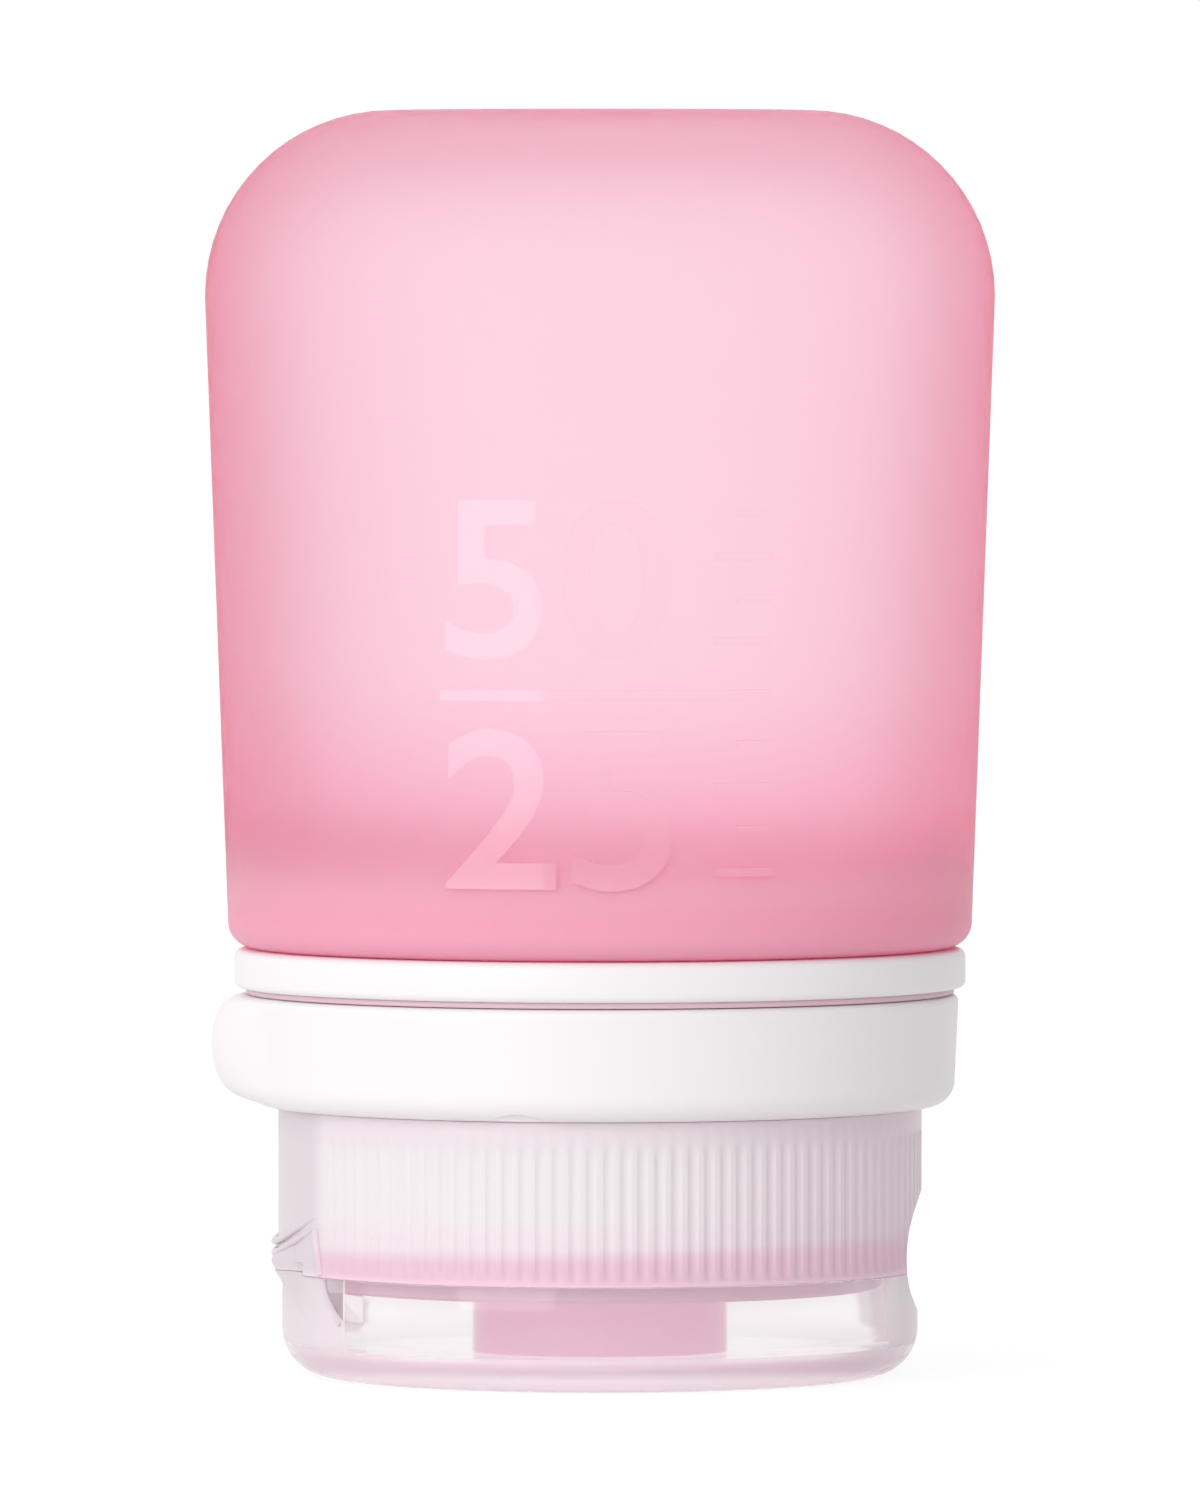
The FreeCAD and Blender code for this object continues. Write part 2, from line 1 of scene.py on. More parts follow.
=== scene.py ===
# %% [markdown]
# A soft squeeze bottle for travel stands on its flip-top screw cap.
# The measured solids come in first as a fixed frame, in metres, with +Z up and the lid's hinge
# at -X. Pieces could be drawn freely and fitted afterwards. Here they are modelled in the
# solids' own numbers, in millimetres, so each piece goes where its solid is.

# %% Load the frame
import math

import bpy
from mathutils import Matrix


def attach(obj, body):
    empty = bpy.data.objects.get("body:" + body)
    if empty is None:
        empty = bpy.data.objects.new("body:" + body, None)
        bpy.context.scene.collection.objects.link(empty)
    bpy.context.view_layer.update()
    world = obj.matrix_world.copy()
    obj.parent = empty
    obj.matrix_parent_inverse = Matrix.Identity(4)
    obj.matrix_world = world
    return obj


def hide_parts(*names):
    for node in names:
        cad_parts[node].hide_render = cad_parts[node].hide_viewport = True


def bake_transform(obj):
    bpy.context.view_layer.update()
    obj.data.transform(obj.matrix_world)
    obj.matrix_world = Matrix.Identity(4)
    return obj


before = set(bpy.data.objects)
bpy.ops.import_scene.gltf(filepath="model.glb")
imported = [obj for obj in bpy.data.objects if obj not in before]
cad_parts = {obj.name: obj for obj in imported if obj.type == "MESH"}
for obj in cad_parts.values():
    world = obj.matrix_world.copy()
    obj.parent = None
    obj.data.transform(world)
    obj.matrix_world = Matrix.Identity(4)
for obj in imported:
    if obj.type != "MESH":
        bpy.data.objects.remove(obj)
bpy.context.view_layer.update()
MM = 0.001
print("pieces in the frame:", sorted(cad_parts))

# %% [markdown]
# The camera looks almost level at the front, from about 84 cm away and near the height of the
# bottle's closed end. A short lens close by would spread the rings' curves, so a long lens
# keeps the sides nearly parallel. The small downward tilt shows the lid's round foot.

# %% Camera
FRAME_PIXELS_HIGH = 1500
SENSOR_MM = 36
FOCAL_PIXELS = 15135
EYE = (0, -840, 60)
TILT_DOWN = 1.728
NEAREST = 0.01

bpy.ops.object.select_all(action="DESELECT")
bpy.ops.object.camera_add(
    location=[along * MM for along in EYE],
    rotation=(math.radians(90 - TILT_DOWN), 0, 0),
)
camera = bpy.context.object
camera.data.sensor_width = SENSOR_MM
camera.data.lens = FOCAL_PIXELS / FRAME_PIXELS_HIGH * SENSOR_MM
camera.data.clip_start = NEAREST
bpy.context.scene.camera = camera
print("lens", round(camera.data.lens, 1), "mm")

# %% [markdown]
# A product shot on white has soft light from all round, stronger from the front left.
# Many lamps could give that, but each would be mirrored in the plastic. A world whose light
# falls off away from one direction gives it with none.
# The world is plain white to the camera, and to rays that are mirrored or pass through a wall.
# For the light that falls on the object it is weaker, so pale plastic keeps its shading.
# Light goes to and fro in the soft walls, so it is followed for more bounces than usual.

# %% World
BRIGHT_SIDE = (-0.66, -0.66, 0.3)
FACING_AWAY = -1
FACING_FULLY = 0.5
BRIGHT_LIGHT = 1.02
DIM_LIGHT = 0

bpy.context.scene.view_settings.view_transform = "Standard"
bpy.context.scene.cycles.max_bounces = 32
bpy.context.scene.cycles.diffuse_bounces = 8
bpy.context.scene.cycles.glossy_bounces = 24
bpy.context.scene.cycles.transmission_bounces = 32


def link(tree, source, socket, target, entry):
    """Links a node's output socket to another node's input."""
    tree.links.new(source.outputs[socket], target.inputs[entry])


def seen_directly(tree):
    """One for rays that come from the camera, a mirror or a clear wall, nothing for the rest."""
    path = tree.nodes.new("ShaderNodeLightPath")
    total = path.outputs["Is Camera Ray"]
    for kind in ("Is Glossy Ray", "Is Transmission Ray"):
        larger = tree.nodes.new("ShaderNodeMath")
        larger.operation = "MAXIMUM"
        tree.links.new(total, larger.inputs[0])
        tree.links.new(path.outputs[kind], larger.inputs[1])
        total = larger.outputs[0]
    return total


world = bpy.data.worlds.new("white_room")
bpy.context.scene.world = world
world.use_nodes = True
sky = world.node_tree
background = sky.nodes["Background"]
background.inputs["Color"].default_value = (1, 1, 1, 1)
direction = sky.nodes.new("ShaderNodeTexCoord")
facing = sky.nodes.new("ShaderNodeVectorMath")
facing.operation = "DOT_PRODUCT"
facing.inputs[1].default_value = BRIGHT_SIDE
link(sky, direction, "Generated", facing, 0)
fall_off = sky.nodes.new("ShaderNodeMapRange")
fall_off.inputs["From Min"].default_value = FACING_AWAY
fall_off.inputs["From Max"].default_value = FACING_FULLY
fall_off.inputs["To Min"].default_value = DIM_LIGHT
fall_off.inputs["To Max"].default_value = BRIGHT_LIGHT
link(sky, facing, "Value", fall_off, "Value")
strength = sky.nodes.new("ShaderNodeMapRange")
sky.links.new(seen_directly(sky), strength.inputs["Value"])
link(sky, fall_off, "Result", strength, "To Min")
strength.inputs["To Max"].default_value = 1
link(sky, strength, "Result", background, "Strength")
print("world", world.name, "with light up to", BRIGHT_LIGHT)

# %% [markdown]
# The bottle stands on a pale floor that runs into the white background.
# Plain white would look grey in its own shade, and a floor that only glows would lose the
# bottle's shadow. So the camera sees a glow with a little shaded white added to it,
# while the light on the bottle comes from a matte floor.

# %% Floor
FLOOR_HALF_WIDTH = 3
FLOOR_WHITE = 0.9
FLOOR_ROUGHNESS = 0.9
FLOOR_GLOW = 0.87
FLOOR_SHADE = 0.2

bpy.ops.mesh.primitive_plane_add(size=FLOOR_HALF_WIDTH * 2)
floor = bpy.context.object
floor.name = "floor"
pale = bpy.data.materials.new("pale_floor")
pale.use_nodes = True
tree = pale.node_tree
matte = tree.nodes["Principled BSDF"]
matte.inputs["Base Color"].default_value = (FLOOR_WHITE, FLOOR_WHITE, FLOOR_WHITE, 1)
matte.inputs["Roughness"].default_value = FLOOR_ROUGHNESS
glow = tree.nodes.new("ShaderNodeEmission")
glow.inputs["Strength"].default_value = FLOOR_GLOW
shade = tree.nodes.new("ShaderNodeBsdfDiffuse")
shade.inputs["Color"].default_value = (FLOOR_SHADE, FLOOR_SHADE, FLOOR_SHADE, 1)
lit = tree.nodes.new("ShaderNodeAddShader")
link(tree, glow, 0, lit, 0)
link(tree, shade, 0, lit, 1)
mixing = tree.nodes.new("ShaderNodeMixShader")
tree.links.new(seen_directly(tree), mixing.inputs["Fac"])
link(tree, matte, 0, mixing, 1)
link(tree, lit, 0, mixing, 2)
link(tree, mixing, 0, tree.nodes["Material Output"], "Surface")
floor.data.materials.append(pale)
print("floor", FLOOR_HALF_WIDTH * 2, "m wide")

# %% [markdown]
# One large soft box at the front left gives the white rings their form.
# A small lamp would leave hard spots, so this is a wide area lamp, turned towards the bottle.

# %% Soft box
SOFT_BOX_PLACE = (-0.42, -0.62, 0.2)
SOFT_BOX_AIM = (0.42, 0.62, -0.16)
SOFT_BOX_SIZE = (0.5, 0.6)
SOFT_BOX_POWER = 1.8

bpy.ops.object.light_add(type="AREA", location=SOFT_BOX_PLACE)
soft_box = bpy.context.object
soft_box.name = "soft_box"
soft_box.data.shape = "RECTANGLE"
soft_box.data.size, soft_box.data.size_y = SOFT_BOX_SIZE
soft_box.data.energy = SOFT_BOX_POWER
aim_across, aim_along, aim_up = SOFT_BOX_AIM
lean = math.atan2(math.hypot(aim_across, aim_along), -aim_up)
soft_box.rotation_euler = (lean, 0, math.atan2(aim_along, aim_across) - math.pi / 2)
print("soft box", SOFT_BOX_POWER, "W")

# %% [markdown]
# The rings, the collar and the bush are satin white plastic, with a faint painted pink light from
# the silicone beside them.
# A moulded surface is never quite even. An image of a worn surface could show that, but a fine
# noise on Object coordinates needs no file and has no seams. It breaks up gloss and relief.

# %% White plastic
GRAIN_DETAIL = 4
GRAIN_HEIGHT = 0.0001


def moulded(name, colour, roughness, grain, relief, gloss_spread=0.08):
    """A moulded finish: one colour, with a fine grain in its gloss and its relief."""
    material = bpy.data.materials.new(name)
    material.use_nodes = True
    tree = material.node_tree
    surface = tree.nodes["Principled BSDF"]
    surface.inputs["Base Color"].default_value = (*colour, 1)
    place = tree.nodes.new("ShaderNodeTexCoord")
    speck = tree.nodes.new("ShaderNodeTexNoise")
    speck.inputs["Scale"].default_value = grain
    speck.inputs["Detail"].default_value = GRAIN_DETAIL
    link(tree, place, "Object", speck, "Vector")
    spread = tree.nodes.new("ShaderNodeMapRange")
    spread.inputs["To Min"].default_value = roughness - gloss_spread
    spread.inputs["To Max"].default_value = roughness + gloss_spread
    link(tree, speck, "Fac", spread, "Value")
    link(tree, spread, "Result", surface, "Roughness")
    if not relief:
        return material
    bump = tree.nodes.new("ShaderNodeBump")
    bump.inputs["Strength"].default_value = relief
    bump.inputs["Distance"].default_value = GRAIN_HEIGHT
    link(tree, speck, "Fac", bump, "Height")
    link(tree, bump, "Normal", surface, "Normal")
    return material


# Its faint pink is painted light from the pink silicone.
white_plastic = moulded(
    "satin_white", (0.895, 0.865, 0.878), roughness=0.36, grain=1400, relief=0.08
)
print("finish:", white_plastic.name)

# %% [markdown]
# The lid is clear plastic, hazier near its hinge and opposite it. The valve is milky silicone.
# A glass shader would do for a clear piece, but thin mouldings also have a share of plain
# colour. A Principled shader with a share of transmission gives both.

# %% Clear plastic and valve silicone
CLEAR_TINT = (0.985, 0.967, 0.976)
CLEAR_SHARE = 0.97


def let_light_through(material, share, index, dye=None, density=0):
    """Makes a finish clear or frosted, and dyes it in its depth."""
    tree = material.node_tree
    surface = tree.nodes["Principled BSDF"]
    surface.inputs["Transmission Weight"].default_value = share
    surface.inputs["IOR"].default_value = index
    if dye is None:
        return
    inside = tree.nodes.new("ShaderNodeVolumeAbsorption")
    inside.inputs["Color"].default_value = (*dye, 1)
    inside.inputs["Density"].default_value = density
    link(tree, inside, "Volume", tree.nodes["Material Output"], "Volume")


clear = moulded(
    "clear_plastic", CLEAR_TINT, roughness=0.07, grain=700, relief=0, gloss_spread=0.03
)
let_light_through(clear, share=CLEAR_SHARE, index=1.45)
hazy = moulded(
    "hazy_plastic", (0.98, 0.93, 0.955), roughness=0.3, grain=700, relief=0, gloss_spread=0.03
)
let_light_through(hazy, share=0.5, index=1.3)
valve_silicone = moulded(
    "valve_silicone", (0.92, 0.88, 0.89), roughness=0.4, grain=1100, relief=0.1
)
let_light_through(valve_silicone, share=0.6, index=1.41)
print("finishes:", clear.name, hazy.name, valve_silicone.name)

# %% [markdown]
# The body is pink silicone that lets light through. A pink surface would look painted, so the
# dye lies in the depth of the wall: light is absorbed along its way, and the rims, where that
# way is long, turn a deeper pink by themselves.
# The foot surrounds the neck and gets little light from behind, so it is deeper pink. A colour
# ramp on the height paints that shade into the surface colour.

# %% Pink silicone
DYE = (1, 0.02, 0.39)
DYE_DENSITY = 101


def paint_light_by_height(material, stops, tilt=0):
    """Paints light and shade into the colour by height: stops of a level in millimetres and a
    colour, upwards.
    """
    tree = material.node_tree
    place = tree.nodes.new("ShaderNodeTexCoord")
    level = tree.nodes.new("ShaderNodeVectorMath")
    level.operation = "DOT_PRODUCT"
    level.inputs[1].default_value = (-tilt, 0, 1)
    link(tree, place, "Object", level, 0)
    low, high = stops[0][0], stops[-1][0]
    share = tree.nodes.new("ShaderNodeMapRange")
    share.inputs["From Min"].default_value = low * MM
    share.inputs["From Max"].default_value = high * MM
    link(tree, level, "Value", share, "Value")
    ramp = tree.nodes.new("ShaderNodeValToRGB")
    ramp.color_ramp.interpolation = "EASE"
    for _ in stops[2:]:
        ramp.color_ramp.elements.new(0.5)
    for element, (height, colour) in zip(ramp.color_ramp.elements, stops):
        element.position = (height - low) / (high - low)
        element.color = (*colour, 1)
    link(tree, share, "Result", ramp, "Fac")
    link(tree, ramp, "Color", tree.nodes["Principled BSDF"], "Base Color")


silicone = moulded("pink_silicone", (1, 0.97, 0.98), roughness=0.45, grain=900, relief=0.12)
let_light_through(silicone, share=1, index=1.25, dye=DYE, density=DYE_DENSITY)
# Painted shade: deeper pink at the foot and a lighter pink on the flange, fading up to the
# silicone's own colour.
silicone_shade_levels = [(22, (1, 0.8, 0.87)), (23.7, (1, 0.48, 0.64)), (25.2, (1, 0.53, 0.68))]
silicone_shade_levels += [(28, (1, 0.73, 0.83)), (32, (1, 0.89, 0.93)), (40, (1, 0.97, 0.98))]
paint_light_by_height(silicone, silicone_shade_levels)
print("finish:", silicone.name, "with", len(silicone_shade_levels), "levels of colour")

# %% [markdown]
# The silicone's foot is cloudier than the rest, and its raised marks are polished.
# A second material could show each, but the foot needs a soft change. So the transmission fades
# with height, and an attribute of the mesh, 1 on the marks' faces, gives them a clear coat.

# %% Cloudy foot and polished marks
FOOT_CLOUD = (23.5, 31.5)
FOOT_SHARE = 0.3
POLISH_ROUGHNESS = 0.12


def along_axis(tree, axis, start, end):
    """A Map Range from one place to another along an axis, in millimetres."""
    place = tree.nodes.new("ShaderNodeTexCoord")
    split = tree.nodes.new("ShaderNodeSeparateXYZ")
    link(tree, place, "Object", split, "Vector")
    way = tree.nodes.new("ShaderNodeMapRange")
    way.inputs["From Min"].default_value = start * MM
    way.inputs["From Max"].default_value = end * MM
    link(tree, split, axis, way, "Value")
    return way


def fade_clearness(material, start, end, start_share, axis="Z"):
    """Leads from another share of transmission at the start to the finish's own at the end."""
    tree = material.node_tree
    surface = tree.nodes["Principled BSDF"]
    way = along_axis(tree, axis, start, end)
    way.interpolation_type = "SMOOTHSTEP"
    way.inputs["To Min"].default_value = start_share
    way.inputs["To Max"].default_value = surface.inputs["Transmission Weight"].default_value
    link(tree, way, "Result", surface, "Transmission Weight")


fade_clearness(silicone, *FOOT_CLOUD, FOOT_SHARE)
skin = silicone.node_tree.nodes["Principled BSDF"]
polish = silicone.node_tree.nodes.new("ShaderNodeAttribute")
polish.attribute_name = "relief"
link(silicone.node_tree, polish, "Fac", skin, "Coat Weight")
skin.inputs["Coat Roughness"].default_value = POLISH_ROUGHNESS
print("cloudy foot from", *FOOT_CLOUD, "mm")

# %% [markdown]
# The screw cap is frosted plastic. Light from the pink silicone gathers in it: in a band just
# above the lid, under the ring and along the right side, which is also in shade. The hinge is in
# a cooler lilac shade. Traced light could bring these about, if every hidden gap in the cap were
# as in the real one. That can't be seen, so this light and shade are painted into the colour by
# place instead, with height and across.

# %% Frosted plastic
# Colours of painted pink light and painted shade on the cap, by place; the milky one is the
# plastic's own colour.
PAINTED_PINK_LIGHT = (0.97, 0.66, 0.78)
FADING_PINK_LIGHT = (0.98, 0.88, 0.925)
MILKY = (0.98, 0.928, 0.952)
TOP_PINK_LIGHT = (0.985, 0.9, 0.94)
LILAC_SHADE = (0.84, 0.76, 0.8)
ROSE_SHADE = (0.93, 0.72, 0.82)
BAND_TILT = 0.02
HINGE_SHADE = (-15.1, -15.9)
RIGHT_SHADE = (3, 18)
RIGHT_SHADE_SHARE = 0.5
SPIGOT_CLOUD = (5.8, 6.3)


def paint_light_along(material, start, end, colour, share, axis="X"):
    """Paints light and shade into the colour: shifts it towards another from one place to the
    next along an axis.
    """
    tree = material.node_tree
    base = tree.nodes["Principled BSDF"].inputs["Base Color"]
    before = base.links[0].from_socket
    aside = along_axis(tree, axis, start, end)
    aside.inputs["To Max"].default_value = share
    shift = tree.nodes.new("ShaderNodeMix")
    shift.data_type = "RGBA"
    shift.inputs[7].default_value = (*colour, 1)
    link(tree, aside, "Result", shift, 0)
    tree.links.new(before, shift.inputs[6])
    tree.links.new(shift.outputs[2], base)


frosted = moulded(
    "frosted_plastic", (0.97, 0.94, 0.955), roughness=0.3, grain=900, relief=0, gloss_spread=0.05
)
let_light_through(frosted, share=0.2, index=1.4)
frosted_colour_and_light_levels = [(7.1, PAINTED_PINK_LIGHT), (8.2, FADING_PINK_LIGHT), (10, MILKY), (13.3, MILKY)]
frosted_colour_and_light_levels += [(13.8, TOP_PINK_LIGHT)]
paint_light_by_height(frosted, frosted_colour_and_light_levels, BAND_TILT)
fade_clearness(frosted, *SPIGOT_CLOUD, 0)
paint_light_along(frosted, *HINGE_SHADE, LILAC_SHADE, 1)
paint_light_along(frosted, *RIGHT_SHADE, ROSE_SHADE, RIGHT_SHADE_SHARE)
print("finish:", frosted.name, "with", len(frosted_colour_and_light_levels), "levels of colour")

# %% [markdown]
# The lid's round lower rim gathers pink light at the front, painted into its colour, and is as
# clear as the rest behind. A pink rim all round would darken what is seen through the lid. So its
# painted pink light and its haze both fade out along Y, from the front to the back.

# %% Rim of the lid
RIM_SHARE = 0.55
RIM_FADE = (-6, 6)
RIM_CLOUD = (5, -7)

# The rim's pink is painted pink light, deeper at the very bottom and fading out towards the back.
rim_pink_light = moulded(
    "rim_plastic", (0.98, 0.8, 0.88), roughness=0.2, grain=700, relief=0, gloss_spread=0.03
)
let_light_through(rim_pink_light, share=RIM_SHARE, index=1.4)
paint_light_by_height(rim_pink_light, [(0, (0.98, 0.79, 0.875)), (1.8, (0.985, 0.83, 0.9))])
paint_light_along(rim_pink_light, *RIM_FADE, CLEAR_TINT, 1, "Y")
fade_clearness(rim_pink_light, *RIM_CLOUD, CLEAR_SHARE, "Y")
print("finish:", rim_pink_light.name)

# %% [markdown]
# Most pieces are turned or moulded round an axis, so a few helpers serve them all.
# A Spin of a drawn section would do for round pieces only, and the soft body is oval.
# So a piece starts as a circle, which is extruded ring after ring, each resized to its own
# half-width and half-depth. Three numbers, with the height, make a station.

# %% Ring by ring
def start_fresh():
    """Leaves edit mode and deselects everything."""
    if bpy.context.mode != "OBJECT":
        bpy.ops.object.mode_set(mode="OBJECT")
    bpy.ops.object.select_all(action="DESELECT")


def edit_all():
    """Goes into edit mode with everything selected."""
    bpy.ops.object.mode_set(mode="EDIT")
    bpy.ops.mesh.select_all(action="SELECT")


def place_in_mesh():
    """Puts the new object's place, turn and size into its mesh."""
    bpy.ops.object.transform_apply(location=True, rotation=True, scale=True)


def pick(piece, wanted):
    """Goes into edit mode with only the wanted points selected."""
    bpy.ops.object.mode_set(mode="EDIT")
    bpy.ops.mesh.select_mode(type="VERT")
    bpy.ops.mesh.select_all(action="DESELECT")
    bpy.ops.object.mode_set(mode="OBJECT")
    for point in piece.data.vertices:
        point.select = wanted(point)
    bpy.ops.object.mode_set(mode="EDIT")


def first_ring(name, station, sides):
    """Starts a piece as one ring, all selected in edit mode."""
    width, depth, height = station
    start_fresh()
    bpy.ops.mesh.primitive_circle_add(
        vertices=sides, radius=width * MM, location=(0, 0, height * MM)
    )
    place_in_mesh()
    piece = bpy.context.object
    piece.name = name
    edit_all()
    bpy.ops.transform.resize(value=(1, depth / width, 1), center_override=(0, 0, 0))
    return piece


def climb(stations):
    """Extrudes the selected ring from station to station."""
    for last, station in zip(stations, stations[1:]):
        rise = (station[2] - last[2]) * MM
        bpy.ops.mesh.extrude_region_move(TRANSFORM_OT_translate={"value": (0, 0, rise)})
        grow = (station[0] / last[0], station[1] / last[1], 1)
        bpy.ops.transform.resize(value=grow, center_override=(0, 0, 0))


print("helpers: pick, first_ring, climb")

# %% [markdown]
# A finished mesh has no doubled points, and its faces point outwards.
# A cup has two skins. It could be one skin with thickness added, but then the inside could not
# have steps of its own. So both skins climb from the same ring, each to a point at its far end.

# %% Closed skins
DOUBLES = 1e-6


def finish_mesh(piece, smooth_angle=35):
    """Merges doubles, turns the faces outwards and shades the round ones smoothly."""
    edit_all()
    bpy.ops.mesh.remove_doubles(threshold=DOUBLES)
    bpy.ops.mesh.normals_make_consistent(inside=False)
    bpy.ops.object.mode_set(mode="OBJECT")
    bpy.ops.object.shade_smooth_by_angle(angle=math.radians(smooth_angle))


def two_skins(name, outside, inside, sides):
    """A cup: two skins that start at the same ring, each closed to a point at its far end."""
    piece = first_ring(name, outside[0], sides)
    climb(outside)
    bpy.ops.mesh.merge(type="CENTER")
    pick(piece, lambda point: point.index < sides)
    climb(inside)
    bpy.ops.mesh.merge(type="CENTER")
    finish_mesh(piece)
    return piece


def round_stations(section):
    """Stations of a round piece from its half section of radius and height."""
    return [(radius, radius, height) for radius, height in section]


def corner(radius, height, bend, start, end, steps=6):
    """Points of a rounded corner about its centre, from one angle to the other in degrees."""
    points = []
    for step in range(steps + 1):
        angle = math.radians(start + (end - start) * step / steps)
        points.append((radius + bend * math.cos(angle), height + bend * math.sin(angle)))
    return points


print("helpers: finish_mesh, two_skins, corner")

# %% [markdown]
# The soft body is one silicone moulding, wall and neck together, 1.8 mm thick at the sides.
# It is round at the shoulder and grows wider and flatter towards its closed end.
# Light passes two walls, so both skins of the wall are modelled, up from the same lip.
# A Solidify could thicken one skin, but it would not keep the neck's steps.

# %% Soft body
SIDE_FOOT = 25.15
INNER_FOOT = 25.4
BODY_TOP = 70.15
SHOULDER_RADIUS = 20.65
FLARE = 1.63
FLATTENING = 4.65
FLATTENING_POWER = 1.6
END_RADIUS = 10.27
END_SHARES = (0.75, 0.5, 0.25, 0.08)
WALL = 1.8
END_THINNING = 0.4
BODY_SIDES = 192


def wall_station(height, inset=0):
    """Half-width and half-depth of the soft wall at a height, drawn in by an inset."""
    share = (height - SIDE_FOOT) / (BODY_TOP - SIDE_FOOT)
    bulge = math.copysign(abs(share) ** FLATTENING_POWER, share)
    width = SHOULDER_RADIUS + FLARE * share - inset
    return width, SHOULDER_RADIUS - FLATTENING * bulge - inset, height


def wall_and_end(foot, inset, lift=0, levels=22, turns=16):
    """Stations of a skin from its foot, up the side, round the end's edge and in."""
    bend = END_RADIUS - inset
    edge_foot = BODY_TOP - END_RADIUS
    climbs = [foot + (edge_foot - foot) * level / levels for level in range(levels)]
    stations = [wall_station(height, inset) for height in climbs]
    for turn in range(turns + 1):
        angle = math.pi / 2 * turn / turns
        width, depth, height = wall_station(edge_foot, inset + bend * (1 - math.cos(angle)))
        stations.append((width, depth, height + (bend + lift) * math.sin(angle)))
    width, depth, height = stations[-1]
    stations += [(width * share, depth * share, height) for share in END_SHARES]
    return stations


# From the lip past the collar's groove to the flange, then the ring's groove and the shoulder.
outer_neck = [(12.45, 7.0), (14.8, 7.0)]
outer_neck += corner(14.8, 7.4, 0.4, -90, 0, 4)
outer_neck += [(15.2, 8.3), (13.85, 8.3), (13.85, 16.35), (15.8, 16.35), (15.8, 21.18)]
outer_neck += corner(19.56, 21.28, 0.1, -90, 0, 3) + corner(19.56, 21.4, 0.1, 0, 90, 3)
outer_neck += [(17.85, 21.5), (17.85, 23.75)]
outer_neck += corner(19.25, 25.15, 1.4, -90, -8, 8)
# The same way inside, with the bore stepping out behind each groove.
inner_neck = [(12.45, 7.0), (12.45, 17.75), (14.4, 17.75), (14.4, 23.0), (16.45, 23.0)]
inner_neck += [(16.45, 24.1)] + corner(18.0, 25.2, 0.85, -95, -10, 6)

outer = round_stations(outer_neck) + wall_and_end(SIDE_FOOT, 0)
inner = round_stations(inner_neck) + wall_and_end(INNER_FOOT, WALL, END_THINNING)
soft_body = two_skins("soft_body", outer, inner, BODY_SIDES)
print("soft body", len(outer), "rings outside,", len(inner), "inside")

# %% [markdown]
# The front carries a raised scale in two rows with a bar between them. Here it holds plain
# numbers and ticks. Figures could be flat text that a Shrinkwrap lays on the wall, but that
# needs many cuts to bend, and leaves slivers. So text and bars start as deep blocks that reach
# through the front wall.

# %% Blocks for the scale
BLOCK_MIDDLE = -18
BLOCK_DEPTH = 12
BOLDNESS = 0.012
ROWS = ((40.1, "50"), (27.6, "25"))
FIGURES_LEFT = -8.4
FIGURES_SIZE = (12.3, 8.8)
DIVIDER = (-8.7, 37.9, 18.1, 0.6)
TICKS = 4
TICK_LENGTHS = (3.2, 2.0)
TICK_RIGHT = 9.4
TICK_START = 0.8
TICK_STEP = 2.3
TICK_HEIGHT = 0.45


def front_number(words, left, foot, width, height):
    """Block figures in front of the wall."""
    start_fresh()
    bpy.ops.object.text_add(rotation=(math.pi / 2, 0, 0))
    number = bpy.context.object
    number.data.body = words
    number.data.offset = BOLDNESS
    number.data.resolution_u = 4
    number.data.extrude = 0.5
    bpy.ops.object.convert(target="MESH")
    number = bpy.context.object
    place_in_mesh()
    lows = [min(point.co[axis] for point in number.data.vertices) for axis in range(3)]
    highs = [max(point.co[axis] for point in number.data.vertices) for axis in range(3)]
    wanted = (width, BLOCK_DEPTH, height)
    grow = [size * MM / (high - low) for size, low, high in zip(wanted, lows, highs)]
    edit_all()
    bpy.ops.transform.resize(value=grow, center_override=(0, 0, 0))
    shift = (left * MM - lows[0] * grow[0], BLOCK_MIDDLE * MM, foot * MM - lows[2] * grow[2])
    bpy.ops.transform.translate(value=shift)
    finish_mesh(number)
    return number


def block(low, high):
    """A box between two corners in millimetres."""
    start_fresh()
    middle = [(a + b) / 2 * MM for a, b in zip(low, high)]
    bpy.ops.mesh.primitive_cube_add(size=1, location=middle)
    box = bpy.context.object
    box.scale = [(b - a) * MM for a, b in zip(low, high)]
    place_in_mesh()
    return box


def front_bar(left, foot, width, height):
    """A bar in front of the wall."""
    near, far = BLOCK_MIDDLE - BLOCK_DEPTH / 2, BLOCK_MIDDLE + BLOCK_DEPTH / 2
    return block((left, near, foot), (left + width, far, foot + height))


marks = [front_bar(*DIVIDER)]
for row_foot, words in ROWS:
    marks.append(front_number(words, FIGURES_LEFT, row_foot, *FIGURES_SIZE))
    for tick in range(TICKS):
        length = TICK_LENGTHS[tick % 2]
        tick_foot = row_foot + TICK_START + tick * TICK_STEP
        marks.append(front_bar(TICK_RIGHT - length, tick_foot, length, TICK_HEIGHT))
print("marks of the scale:", len(marks))

# %% [markdown]
# Where the blocks cross a thin shell that follows the wall, a Boolean keeps what is common, so
# the relief has the wall's curve. Copying the wall's faces and pushing them out would follow
# it too, but only along the edges that the wall has.

# %% Relief with the wall's curve
RELIEF = 0.32
SINK = 0.5
SCALE_FOOT = 26.233
SCALE_HEIGHT = 24
SHELL_STEPS = 16


def apply_modifier(piece, kind, **settings):
    """Adds a modifier with its settings and applies it."""
    modifier = piece.modifiers.new(kind.lower(), kind)
    for setting, value in settings.items():
        setattr(modifier, setting, value)
    bpy.context.view_layer.objects.active = piece
    bpy.ops.object.modifier_apply(modifier=modifier.name)


